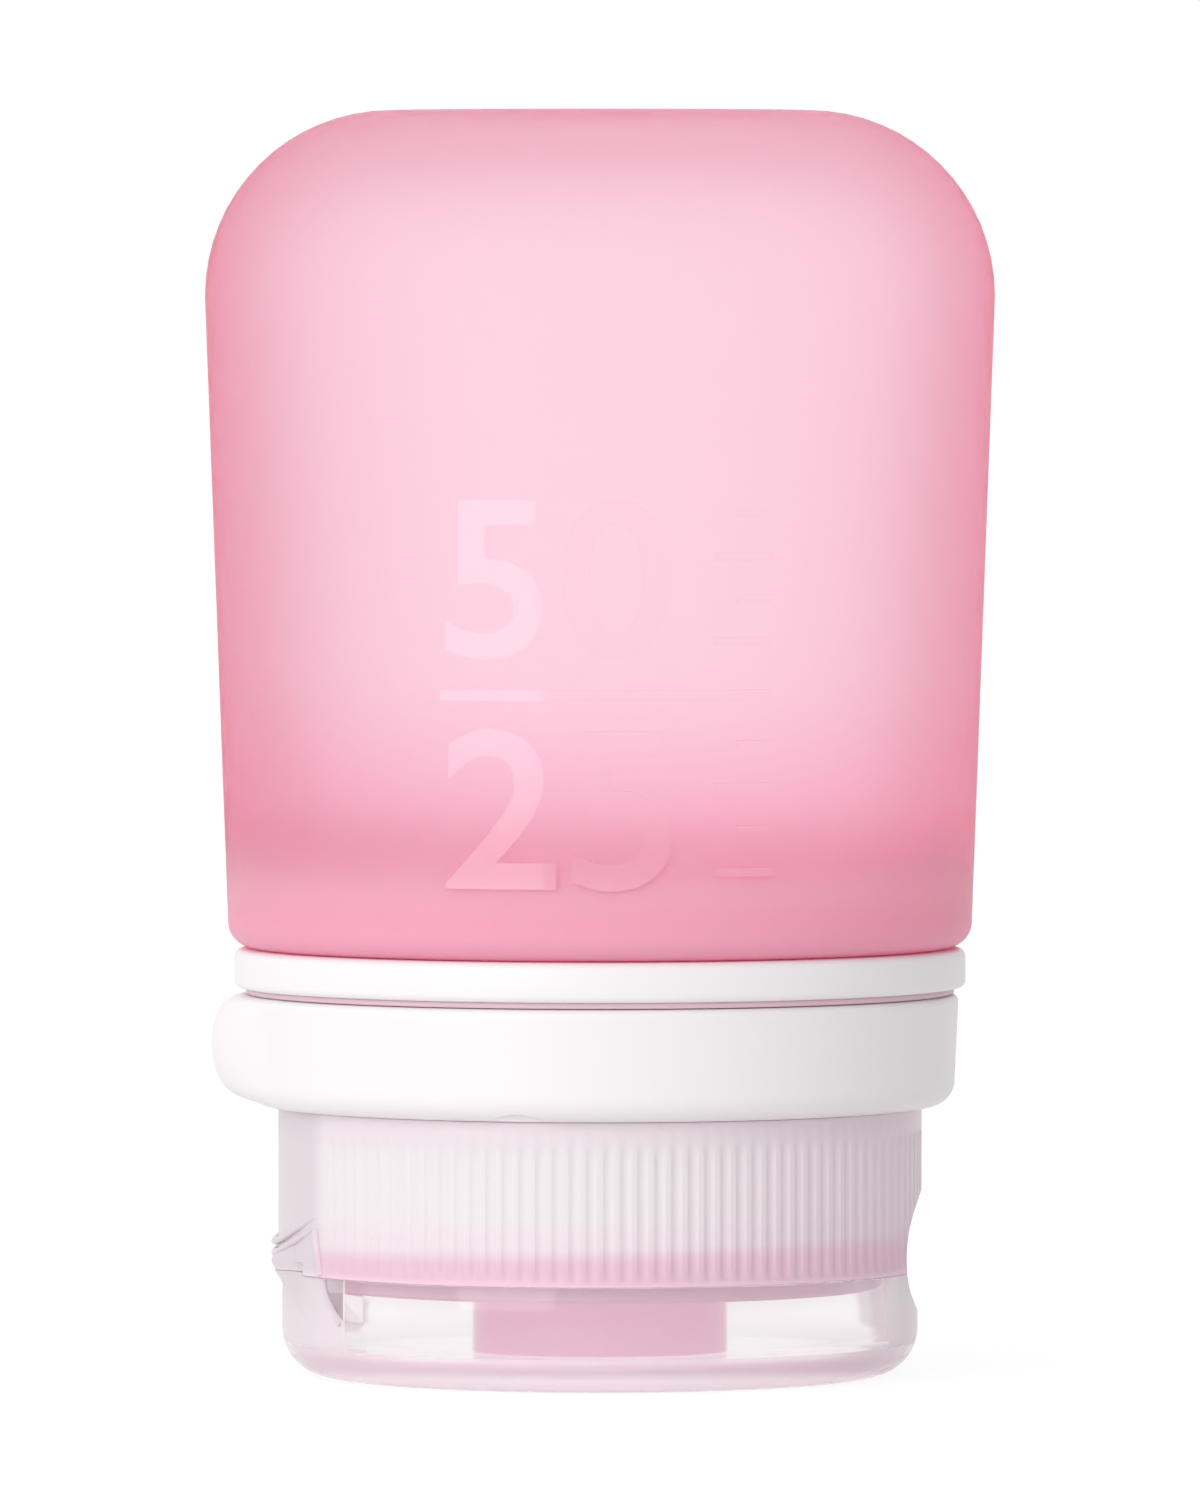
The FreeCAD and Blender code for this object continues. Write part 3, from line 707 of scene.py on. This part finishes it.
def join_by_boolean(piece, other, operation):
    """Adds or cuts another solid, or keeps what is common, and takes the other away."""
    start_fresh()
    piece.select_set(True)
    apply_modifier(
        piece,
        "BOOLEAN",
        operation=operation,
        object=other,
        solver="EXACT",
        material_mode="TRANSFER",
    )
    bpy.data.objects.remove(other)


def closed_ring(name, stations, sides):
    """A ring whose last station joins up with its first."""
    piece = first_ring(name, stations[0], sides)
    climb(stations)
    count = len(stations) * sides
    pick(piece, lambda point: point.index < sides or point.index >= count - sides)
    bpy.ops.mesh.bridge_edge_loops()
    finish_mesh(piece)
    return piece


start_fresh()
for mark in marks:
    mark.select_set(True)
raised_scale = marks[0]
bpy.context.view_layer.objects.active = raised_scale
bpy.ops.object.join()
shell_levels = [SCALE_FOOT + SCALE_HEIGHT * step / SHELL_STEPS for step in range(SHELL_STEPS + 1)]
shell = [wall_station(height, -RELIEF) for height in shell_levels]
shell += [wall_station(height, SINK) for height in reversed(shell_levels)]
join_by_boolean(raised_scale, closed_ring("scale_shell", shell, BODY_SIDES), "INTERSECT")
print("relief of", len(raised_scale.data.polygons), "faces")

# %% [markdown]
# A second Boolean joins the relief to the silicone, so the body stays one closed moulding.
# Laid on as a piece of its own, it would show a second wall through the first.
# The marks wear a material of their own until then, because that tells which faces of the
# joined mesh are theirs. Those faces get the attribute that polishes them.

# %% Raised scale
def dress(piece, material, slot, body, *nodes):
    """Gives a piece its finish and body, and hides the solids it stands for."""
    piece.data.materials.clear()
    piece.data.materials.append(material)
    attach(piece, body)
    if nodes:
        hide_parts(*nodes)
    print(piece.name, len(piece.data.polygons), "faces")


raised_scale.data.materials.clear()
raised_scale.data.materials.append(bpy.data.materials.new("relief_mark"))
soft_body.data.materials.append(silicone)
join_by_boolean(soft_body, raised_scale, "UNION")
finish_mesh(soft_body)
raised = [float(face.material_index) for face in soft_body.data.polygons]
soft_body.data.attributes.new("relief", "FLOAT", "FACE").data.foreach_set("value", raised)
soft_body.data.polygons.foreach_set("material_index", [0] * len(raised))
dress(soft_body, silicone, "silicone", "bottle", "bottle_body")
print("raised faces:", round(sum(raised)))

# %% [markdown]
# A stiff white ring lies in the groove under the shoulder and keeps the neck round.
# A torus would be too round for it. Its flat section with soft edges is turned instead, ring
# by ring, and closed on itself.

# %% Shoulder ring
def turned_ring(name, section, sides=192):
    """A round ring with a closed section."""
    return closed_ring(name, round_stations(section), sides)


ring_section = [(17.9, 21.52), (17.9, 23.7)]
ring_section += corner(19.8, 23.2, 0.5, 90, 0) + corner(19.9, 21.92, 0.4, 0, -90)
shoulder_ring = turned_ring("white_shoulder_ring", ring_section)
dress(shoulder_ring, white_plastic, "white_plastic", "bottle", "shoulder_ring")

# %% [markdown]
# The stiff collar sits in the neck's lower groove. It carries the screw thread, which shows
# faintly through the cap. Its body is turned. The thread could be extruded step by step, but a
# Screw modifier winds its small trapezoid up round the axis at once.

# %% Threaded collar
COLLAR_FOOT = 8.34
COLLAR_STEP = 14.8
COLLAR_TOP = 21.14
THREAD_ROOT = 15.4
THREAD_CREST = 16.3
THREAD_PITCH = 3.0
THREAD_START = 9.25
THREAD_TURNS = 1.3
THREAD_STEPS = 96
THREAD_OVERLAP = 0.2


def thread_ridge(root, tip, level, turns, half_root=0.65, half_tip=0.35):
    """A screw ridge from its root to its tip radius, climbing from a level."""
    start_fresh()
    middle = ((root + tip) / 2 * MM, 0, level * MM)
    bpy.ops.mesh.primitive_plane_add(size=1, location=middle, rotation=(math.pi / 2, 0, 0))
    ridge = bpy.context.object
    ridge.scale = (abs(tip - root) * MM, half_root * 2 * MM, 1)
    bpy.ops.object.transform_apply(location=False, rotation=True, scale=True)
    place_in_mesh()
    outwards = 1 if tip > root else -1
    pick(ridge, lambda point: (point.co.x - middle[0]) * outwards > 0)
    bpy.ops.transform.resize(value=(1, 1, half_tip / half_root), center_override=middle)
    bpy.ops.mesh.select_all(action="SELECT")
    bpy.ops.mesh.delete(type="ONLY_FACE")
    bpy.ops.object.mode_set(mode="OBJECT")
    steps = round(THREAD_STEPS * turns)
    apply_modifier(
        ridge,
        "SCREW",
        angle=math.tau * turns,
        screw_offset=THREAD_PITCH * turns * MM,
        steps=steps,
        render_steps=steps,
        use_merge_vertices=False,
    )
    edit_all()
    bpy.ops.mesh.fill_holes(sides=4)
    finish_mesh(ridge)
    return ridge


collar_section = [(13.9, COLLAR_FOOT), (15.2, COLLAR_FOOT), (THREAD_ROOT, COLLAR_FOOT + 0.2)]
collar_section += [(THREAD_ROOT, COLLAR_STEP), (17.2, COLLAR_STEP), (17.35, COLLAR_STEP + 0.15)]
collar_section += [(17.35, COLLAR_TOP), (15.85, COLLAR_TOP), (15.85, 16.3), (13.9, 16.3)]
threaded_collar = turned_ring("threaded_collar", collar_section)
thread = thread_ridge(THREAD_ROOT - THREAD_OVERLAP, THREAD_CREST, THREAD_START, THREAD_TURNS)
join_by_boolean(threaded_collar, thread, "UNION")
finish_mesh(threaded_collar)
dress(threaded_collar, white_plastic, "white_plastic", "bottle", "collar")

# %% [markdown]
# The swivel ring turns on the collar. A rounded lug at the left swells out of it without a
# crease. A block joined on would leave one. So the ring is turned with many rings of points up
# its wall, and a Displace pushes a weighted patch outwards.

# %% Swivel ring with its lug
RING_FOOT = 14.95
RING_TOP = 21.13
RING_BORE = 17.5
RING_RADIUS = 19.7
RING_FLARE = 0.2
FOOT_BEND = 1.4
TOP_BEND = 0.4
RING_STEPS = 16
RING_SIDES = 320
LUG_REACH = 1.8
LUG_HALF_HEIGHT = 2.95
LUG_HALF_LENGTH = 7.8
LUG_LEVEL = 18.2
LUG_SKIN = 18.2

swivel_section = [(RING_BORE, RING_TOP), (RING_BORE, RING_FOOT)]
swivel_section += corner(RING_RADIUS - FOOT_BEND, RING_FOOT + FOOT_BEND, FOOT_BEND, -90, 0, 10)
wall_foot = RING_FOOT + FOOT_BEND
wall_height = RING_TOP - TOP_BEND - wall_foot
for step in range(1, RING_STEPS):
    share = step / RING_STEPS
    swivel_section.append((RING_RADIUS + RING_FLARE * share, wall_foot + wall_height * share))
ring_shoulder = RING_RADIUS + RING_FLARE - TOP_BEND
swivel_section += corner(ring_shoulder, RING_TOP - TOP_BEND, TOP_BEND, 0, 90, 6)
swivel_ring = turned_ring("white_swivel_ring", swivel_section, RING_SIDES)
swell = swivel_ring.vertex_groups.new(name="lug")
for point in swivel_ring.data.vertices:
    across, along, height = (value / MM for value in point.co)
    if across > 0 or math.hypot(across, along) < LUG_SKIN:
        continue
    in_height = 1 - ((height - LUG_LEVEL) / LUG_HALF_HEIGHT) ** 2
    in_length = 1 - (along / LUG_HALF_LENGTH) ** 2
    if in_height > 0 and in_length > 0:
        swell.add([point.index], math.sqrt(in_height) * in_length**1.5, "REPLACE")
apply_modifier(
    swivel_ring,
    "DISPLACE",
    direction="X",
    mid_level=0,
    strength=-LUG_REACH * MM,
    vertex_group="lug",
)
print("lug stands out by", LUG_REACH, "mm")

# %% [markdown]
# The ring's lower edge has a small flat arch at the front. Its points could be lifted one by
# one, but the edge is round there. A round bar that lies across it cuts a clean arch.

# %% Arch in the ring's lower edge
ARCH_RADIUS = 2.725
ARCH_RISE = 0.45
ARCH_PLACE = (-4.6, -20.1)
ARCH_LENGTH = 4.2


def round_bar(radius, middle, length, axis, sides=96):
    """A cutter: a round bar along Y or Z."""
    start_fresh()
    bpy.ops.mesh.primitive_cylinder_add(
        vertices=sides,
        radius=radius * MM,
        depth=length * MM,
        location=[value * MM for value in middle],
        rotation=(math.pi / 2, 0, 0) if axis == "Y" else (0, 0, 0),
    )
    place_in_mesh()
    return bpy.context.object


arch_middle = (*ARCH_PLACE, RING_FOOT + ARCH_RISE - ARCH_RADIUS)
arch = round_bar(ARCH_RADIUS, arch_middle, ARCH_LENGTH, "Y")
join_by_boolean(swivel_ring, arch, "DIFFERENCE")
finish_mesh(swivel_ring)
dress(swivel_ring, white_plastic, "white_plastic", "loop", "loop_ring")

# %% [markdown]
# The screw cap is a translucent moulding: a skirt, a deck across it, a short spigot that the
# lid closes on, and a boss in the middle for the spout. These could be joined from turned
# pieces, but joints inside a clear wall would show. So all of it is turned in one section,
# with enough points round the skirt for the grip that follows.

# %% Screw cap
CAP_FOOT = 5.9
CAP_TOP = 14.7
CAP_LIP_TOP = 14.9
CAP_RADIUS = 17.87
CAP_BORE = 16.5
SPIGOT_FOOT = 4.9
DECK_TOP = 6.9
BOSS_FOOT = 1.25
GROOVE_COUNT = 120
GROOVE_FOOT = 6.45
GROOVE_HEIGHT = 7.0
GROOVE_STEPS = 12
POINTS_PER_GROOVE = 6

# From the boss out along the deck's underside, round the spigot and up the skirt.
cap_section = [(3.9, 2.6), (3.9, 1.45), (4.1, BOSS_FOOT), (6.85, BOSS_FOOT)]
cap_section += corner(6.85, 1.45, 0.2, -90, 0, 4) + corner(7.45, 5.5, 0.4, 180, 90, 4)
cap_section += [(15.3, CAP_FOOT), (15.3, 5.05), (15.45, SPIGOT_FOOT)]
cap_section += [(16.05, SPIGOT_FOOT), (16.2, 5.05), (16.2, CAP_FOOT)]
cap_section += corner(17.79, 5.98, 0.08, -90, 0, 3)
groove_levels = [6.2, GROOVE_FOOT]
for step in range(1, GROOVE_STEPS):
    groove_levels.append(GROOVE_FOOT + GROOVE_HEIGHT * step / GROOVE_STEPS)
groove_levels += [13.45, 13.7]
cap_section += [(CAP_RADIUS, level) for level in groove_levels]
# Over the lip, down the bore and back along the deck's top.
cap_section += corner(17.79, 14.82, 0.08, 0, 90, 4)
cap_section += [(17.42, CAP_LIP_TOP), (17.42, CAP_TOP), (16.7, CAP_TOP), (CAP_BORE, 14.5)]
cap_section += corner(16.2, 7.2, 0.3, 0, -90, 3) + [(5.15, DECK_TOP), (5.15, 2.6)]
cap_sides = GROOVE_COUNT * POINTS_PER_GROOVE
ribbed_cap = turned_ring("ribbed_cap", cap_section, cap_sides)
print("cap with", cap_sides, "points round its skirt")

# %% [markdown]
# The skirt has fine upright grooves for grip, except near the hinge. Small cutters would take a
# Boolean for each. Instead the skirt has six lines of points to a groove, and the middle three
# of them are drawn in towards the axis.

# %% Grip of the cap
GROOVE_DEPTH = 0.13
GROOVE_SHOULDER = 0.75
GROOVE_HALF_ARC = 147
GROOVE_ENDS = (6.3, 13.6)
ON_WALL = 0.01


def groove_line(point, lines):
    """Whether a point lies on the named lines of the groove pattern."""
    across, along, height = (value / MM for value in point.co)
    if abs(math.hypot(across, along) - CAP_RADIUS) > ON_WALL:
        return False
    turn = math.degrees(math.atan2(along, across))
    if abs(turn) > GROOVE_HALF_ARC or not GROOVE_ENDS[0] < height < GROOVE_ENDS[1]:
        return False
    return round(turn * cap_sides / 360) % POINTS_PER_GROOVE in lines


for lines, depth in (((3,), GROOVE_DEPTH), ((2, 4), GROOVE_DEPTH * GROOVE_SHOULDER)):
    pick(ribbed_cap, lambda point: groove_line(point, lines))
    share = (CAP_RADIUS - depth) / CAP_RADIUS
    bpy.ops.transform.resize(value=(share, share, 1), center_override=(0, 0, 0))
bpy.ops.object.mode_set(mode="OBJECT")
print("grip with", GROOVE_COUNT, "grooves to a full turn")

# %% [markdown]
# At the left the cap swells into a web above the hinge, with a slanted top, an undercut nose and
# ends that run back to the round wall. It could be drawn out of the skirt's faces, but they are
# narrow and many there. So a block is hollowed to fit the wall, sliced to shape and joined on.

# %% Hinge web
HINGE_LEVEL = 6.6
HINGE_HALF_LENGTH = 9.16
HINGE_ROOT = -14.9
HINGE_BORE = 16.6
HINGE_BORE_MIDDLE = (0, 0, 6)
HINGE_BORE_LENGTH = 12
NOTCH_FOOT = 5.7
NOTCH_BACK = -16.4
WEB_NOSE = -18.15
WEB_TOP = 8.5
WEB_SLANT_AT = (-17.85, 0, 6.9)
WEB_SLANT = (-0.55, 0, 0.83)
WEB_UNDERCUT_AT = (WEB_NOSE, 0, 6.5)
UNDERCUT = (-1.05, 0, -0.6)
END_TRIM_AT = (-18.35, 4.5)
END_TRIM = (-4.66, 2.75)
LID_SIDES = 240


def slice_off(box, through, facing):
    """Cuts a block along a plane, takes away the side it faces and closes the cut."""
    bpy.context.view_layer.objects.active = box
    edit_all()
    through = [value * MM for value in through]
    bpy.ops.mesh.bisect(plane_co=through, plane_no=facing, use_fill=True, clear_outer=True)
    bpy.ops.object.mode_set(mode="OBJECT")


def hinge_block(nose, foot, top):
    """A block along the hinge, hollowed at its back with the lid's number of sides."""
    box = block((nose, -HINGE_HALF_LENGTH, foot), (HINGE_ROOT, HINGE_HALF_LENGTH, top))
    bore = round_bar(HINGE_BORE, HINGE_BORE_MIDDLE, HINGE_BORE_LENGTH, "Z", LID_SIDES)
    join_by_boolean(box, bore, "DIFFERENCE")
    return box


def trim_ends(box):
    """Slants both ends of a hinge block in plan, from its nose back to the round wall."""
    for side in (-1, 1):
        through = (END_TRIM_AT[0], END_TRIM_AT[1] * side, 0)
        slice_off(box, through, (END_TRIM[0], END_TRIM[1] * side, 0))


notch = block(
    (-19, -HINGE_HALF_LENGTH, NOTCH_FOOT), (NOTCH_BACK, HINGE_HALF_LENGTH, HINGE_LEVEL)
)
join_by_boolean(ribbed_cap, notch, "DIFFERENCE")
web = hinge_block(WEB_NOSE, HINGE_LEVEL - 0.5, WEB_TOP)
slice_off(web, WEB_SLANT_AT, WEB_SLANT)
slice_off(web, WEB_UNDERCUT_AT, UNDERCUT)
trim_ends(web)
join_by_boolean(ribbed_cap, web, "UNION")
print("hinge", HINGE_HALF_LENGTH * 2, "mm long")

# %% [markdown]
# A round bar scoops a place for the thumb out of the right side of the cap, and later out of
# the lid. Drawing the points in would bend the grooves there, and a cut leaves a clean edge.
# The inner thread that meets the collar's is wound as that one was, with its tip inwards.

# %% Scallop and inner thread
SCALLOP_RADIUS = 7.45
SCALLOP_DEPTH = 0.94
SCALLOP_RISE = 0.8
SCALLOP_LENGTH = 40
SCALLOP_SIDES = 160
INNER_THREAD_ROOT = 16.7
INNER_THREAD_START = 7.75
INNER_THREAD_TURNS = 1.85


def thumb_scallop():
    """The cutter for the thumb's place, which runs across the cap and the lid."""
    middle = (CAP_RADIUS - SCALLOP_DEPTH + SCALLOP_RADIUS, 0, CAP_FOOT + SCALLOP_RISE)
    return round_bar(SCALLOP_RADIUS, middle, SCALLOP_LENGTH, "Y", SCALLOP_SIDES)


join_by_boolean(ribbed_cap, thumb_scallop(), "DIFFERENCE")
inner_thread = thread_ridge(
    INNER_THREAD_ROOT, THREAD_ROOT + THREAD_OVERLAP, INNER_THREAD_START, INNER_THREAD_TURNS
)
join_by_boolean(ribbed_cap, inner_thread, "UNION")
finish_mesh(ribbed_cap, 30)
dress(ribbed_cap, frosted, "frosted_plastic", "cap", "screw_cap")

# %% [markdown]
# The lid is a clear cup with a rounded lower edge. A short plug in its middle closes the spout.
# A Solidify of one skin would round the plug away, so both skins are drawn, from the rim down.

# %% Flip lid
LID_RADIUS = 17.65
LID_HEIGHT = 5.86
LID_BORE = 16.45
LID_EDGE = 0.07
LID_FLOOR = 1.2
PLUG_HEIGHT = 2.3

lid_rim = (LID_RADIUS - LID_EDGE, LID_HEIGHT)
lid_outside = [lid_rim] + corner(lid_rim[0], LID_HEIGHT - LID_EDGE, LID_EDGE, 90, 0, 3)[1:]
lid_outside += [(LID_RADIUS, 4.2)] + corner(15.05, 2.6, 2.6, 0, -90, 12)
lid_outside += [(8, 0), (3, 0), (0.4, 0)]
lid_inside = [lid_rim, (16.57, LID_HEIGHT)]
lid_inside += corner(16.57, LID_HEIGHT - 0.12, 0.12, 90, 180, 3)[1:]
lid_inside += [(LID_BORE, 4.2)] + corner(15.25, 2.4, 1.2, 0, -90, 8)
lid_inside += [(9, LID_FLOOR), (3.6, LID_FLOOR), (3.4, 1.4), (3.4, 2.15)]
lid_inside += [(3.25, PLUG_HEIGHT), (2.65, PLUG_HEIGHT), (2.5, 2.15), (2.5, 1.35)]
lid_inside += [(2.35, LID_FLOOR), (0.4, LID_FLOOR)]
lid_skins = round_stations(lid_outside), round_stations(lid_inside)
clear_lid = two_skins("clear_lid", *lid_skins, LID_SIDES)
print("lid", LID_HEIGHT, "mm high,", len(clear_lid.data.polygons), "faces")

# %% [markdown]
# At the left the lid's rim is cut back outside for the hinge, with a slanted slot at each end.
# A leaf with an undercut nose, made as the cap's web is, takes up the hinge there.
# It could be drawn out of the lid's wall, but then it would have the wall's round outside.
# Its upper edge inside is trimmed to the lid's rim, so that it clears the cap's foot.

# %% Hinge leaf of the lid
OUTSIDE = -25
LID_NOTCH = 5.0
NOTCH_DEPTH = -17.05
CUT_TOP = 6.5
SLOT_TIP = 3.2
SLOT_SIDES = (9.1, 10.6)
SLOT_INSIDE = -5
SLOT_SLANT = (-1.8, -1.44)
LEAF_NOSE = -17.95
LEAF_FOOT = 3.7
LEAF_TOP = 6.05
LEAF_CLEARANCE = 0.02

rim_cut = block(
    (OUTSIDE, -HINGE_HALF_LENGTH, LID_NOTCH), (NOTCH_DEPTH, HINGE_HALF_LENGTH, CUT_TOP)
)
join_by_boolean(clear_lid, rim_cut, "DIFFERENCE")
for side in (-1, 1):
    near, far = sorted(value * side for value in SLOT_SIDES)
    slot = block((OUTSIDE, near, SLOT_TIP), (SLOT_INSIDE, far, CUT_TOP))
    slant = (0, SLOT_SLANT[0] * side, SLOT_SLANT[1])
    slice_off(slot, (0, HINGE_HALF_LENGTH * side, LID_NOTCH), slant)
    join_by_boolean(clear_lid, slot, "DIFFERENCE")
leaf = hinge_block(LEAF_NOSE, LEAF_FOOT, LEAF_TOP)
foot_room = block((-LID_BORE, -10, LID_HEIGHT - LEAF_CLEARANCE), (-14, 10, 7))
join_by_boolean(leaf, foot_room, "DIFFERENCE")
slice_off(leaf, (LEAF_NOSE, 0, LEAF_TOP), UNDERCUT)
trim_ends(leaf)
join_by_boolean(clear_lid, leaf, "UNION")
join_by_boolean(clear_lid, thumb_scallop(), "DIFFERENCE")
finish_mesh(clear_lid, 30)
print("lid with its leaf", len(clear_lid.data.polygons), "faces")

# %% [markdown]
# The lid is clear, hazy near the hinge and opposite it, with painted pink light on its lower rim.
# A mask in the shader could blend these finishes. Soft changes aren't needed between them, so
# each face simply takes a finish by its place.

# %% Finishes of the lid
HINGE_HAZE = -13.9
THUMB_HAZE = 15.8
RIM_LIGHT_RADIUS = 15.1
RIM_LIGHT_TOP = 1.8
HAZY, RIM = 1, 2

dress(clear_lid, clear, "clear_plastic", "lid", "flip_lid")
clear_lid.data.materials.append(hazy)
clear_lid.data.materials.append(rim_pink_light)
# Faces low on the outer rim take the painted pink light; those near the hinge and opposite it are
# hazy.
for face in clear_lid.data.polygons:
    across, along, height = (value / MM for value in face.center)
    if math.hypot(across, along) > RIM_LIGHT_RADIUS and height < RIM_LIGHT_TOP:
        face.material_index = RIM
    elif across < HINGE_HAZE or across > THUMB_HAZE:
        face.material_index = HAZY
print("finishes of the lid:", len(clear_lid.data.materials))

# %% [markdown]
# The lid hangs on a thin film between the web of the cap and the leaf of the lid.
# It could ride on either body, but then it would tear off the other when the lid opens.
# So it is cut into narrow rows, and is attached to neither body.

# %% Hinge film
FILM_LOW = (-17.8, -4.4, 5.75)
FILM_HIGH = (-17.5, 4.4, 6.75)
FILM_CUTS = 7

hinge_film = block(FILM_LOW, FILM_HIGH)
hinge_film.name = "hinge_film"
edit_all()
bpy.ops.mesh.subdivide(number_cuts=FILM_CUTS)
finish_mesh(hinge_film)
hinge_film.data.materials.append(clear)
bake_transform(hinge_film)
print(hinge_film.name, len(hinge_film.data.polygons), "faces")

# %% [markdown]
# Two rolled ridges run from the hinge's middle up the cap's wall to each side. A narrow strip
# edges each end of the hinge, and a thin edge follows each slot of the lid.
# They could be swept by extruding a small circle, but a bevelled curve through five points has
# a round section and smooth bends at once.

# %% Hinge ridges, strips and slot edges
RIDGE_REACH = 9.7
RIDGE_RISE = 2.4
RIDGE_STAND = 0.2
RIDGE_SINK = -0.3
RIDGE_OFFSET = 0.15
RIDGE_ROWS = (("lower", 0.0), ("upper", 0.62))
RIDGE_THICKNESS = 0.42
RIDGE_STEPS = 4
STRIP_THICKNESS = 0.5
STRIP_PATH = (
    (-15.64, 8.7, 8.5),
    (-15.58, 8.8, 7.8),
    (-15.5, 8.9, 7.2),
    (-15.4, 9.0, 6.6),
    (-15.3, 9.1, 6.05),
)
EDGE_THICKNESS = 0.3
EDGE_PATH = (
    (-15.2, 9.08, 5.75),
    (-15.1, 9.2, 5.1),
    (-14.95, 9.4, 4.7),
    (-14.6, 9.95, 4.0),
    (-14.25, 10.4, 3.4),
)


def rolled(name, points, thickness):
    """A smooth round bead through five points in millimetres."""
    start_fresh()
    bpy.ops.curve.primitive_nurbs_path_add()
    bead = bpy.context.object
    bead.name = name
    spline = bead.data.splines[0]
    for point, place in zip(spline.points, points):
        point.co = (*(value * MM for value in place), 1)
    spline.order_u = 3
    spline.use_endpoint_u = True
    spline.resolution_u = 8
    bead.data.bevel_depth = thickness / 2 * MM
    bead.data.bevel_resolution = 3
    bead.data.use_fill_caps = True
    bpy.ops.object.convert(target="MESH")
    bead = bpy.context.object
    place_in_mesh()
    finish_mesh(bead, 50)
    return bead


def ridge_path(side, rise):
    """Points of a ridge on the cap's wall, from the hinge's middle to where it sinks in."""
    path = []
    for step in range(RIDGE_STEPS + 1):
        share = step / RIDGE_STEPS
        along = RIDGE_REACH * step / RIDGE_STEPS
        stand = RIDGE_STAND * (1 - share) if step < RIDGE_STEPS else RIDGE_SINK
        level = HINGE_LEVEL + RIDGE_OFFSET + rise + RIDGE_RISE * share**2
        path.append((-math.sqrt(CAP_RADIUS**2 - along**2) - stand, along * side, level))
    return path


def on_side(path, side):
    """A path on the front or the back end of the hinge."""
    return [(across, along * side, height) for across, along, height in path]


for side, hand in ((-1, "front"), (1, "back")):
    for row, rise in RIDGE_ROWS:
        ridge = rolled(f"hinge_ridge_{row}_{hand}", ridge_path(side, rise), RIDGE_THICKNESS)
        dress(ridge, frosted, "frosted_plastic", "cap")
    strip = rolled(f"hinge_strip_{hand}", on_side(STRIP_PATH, side), STRIP_THICKNESS)
    dress(strip, frosted, "frosted_plastic", "cap")
    edge = rolled(f"slot_edge_{hand}", on_side(EDGE_PATH, side), EDGE_THICKNESS)
    dress(edge, hazy, "clear_plastic", "lid")

# %% [markdown]
# The slit valve is a small soft disc with a domed middle, cut by two crossing slits.
# It sits hidden in the spout, and shows only when the lid is open. A squashed sphere would give
# a dome but no flange, so both skins are drawn from the flange's edge, and thin blocks cut it.

# %% Valve
VALVE_RADIUS = 5.1
VALVE_FOOT = 2.65
VALVE_TOP = 3.65
DOME_RADIUS = 3.4
DOME_FOOT = 3.15
DOME_RISE = 0.9
DOME_STEPS = 8
VALVE_SIDES = 64
SLIT_HALF_LENGTH = 2.2
SLIT_HALF_WIDTH = 0.04
SLIT_LEVELS = (2.5, 4.5)

bend_radius = (DOME_RADIUS**2 + DOME_RISE**2) / (2 * DOME_RISE)
dome = []
for step in range(1, DOME_STEPS):
    radius = DOME_RADIUS * (1 - step / DOME_STEPS)
    dome.append((radius, math.sqrt(bend_radius**2 - radius**2) - bend_radius + DOME_RISE))
upper = [(VALVE_RADIUS, VALVE_FOOT), (VALVE_RADIUS, VALVE_TOP)]
upper += [(DOME_RADIUS, VALVE_TOP), (DOME_RADIUS, DOME_FOOT)]
upper += [(radius, DOME_FOOT + rise) for radius, rise in dome]
lower = [(VALVE_RADIUS, VALVE_FOOT), (DOME_RADIUS, VALVE_FOOT)]
lower += [(radius, VALVE_FOOT + rise) for radius, rise in dome]
valve_skins = round_stations(upper), round_stations(lower)
slit_valve = two_skins("slit_valve", *valve_skins, VALVE_SIDES)
slit = (SLIT_HALF_LENGTH, SLIT_HALF_WIDTH)
for across, along in (slit, slit[::-1]):
    cutter = block((-across, -along, SLIT_LEVELS[0]), (across, along, SLIT_LEVELS[1]))
    join_by_boolean(slit_valve, cutter, "DIFFERENCE")
dress(slit_valve, valve_silicone, "valve_silicone", "valve", "valve")

# %% [markdown]
# A small white bush behind the valve holds it in the boss, with a flange that rests on the deck.
# Two cylinders with a hole would leave sharp edges, so its section is turned with small bevels.

# %% Valve retainer
BUSH_SIDES = 96

bush_section = [(3.9, 3.68), (4.95, 3.68), (5.1, 3.83), (5.1, 6.95), (6.35, 6.95), (6.5, 7.1)]
bush_section += [(6.5, 7.4), (6.35, 7.55), (4.05, 7.55), (3.9, 7.4)]
retainer_bush = turned_ring("retainer_bush", bush_section, BUSH_SIDES)
dress(retainer_bush, white_plastic, "white_plastic", "valve", "valve_retainer")
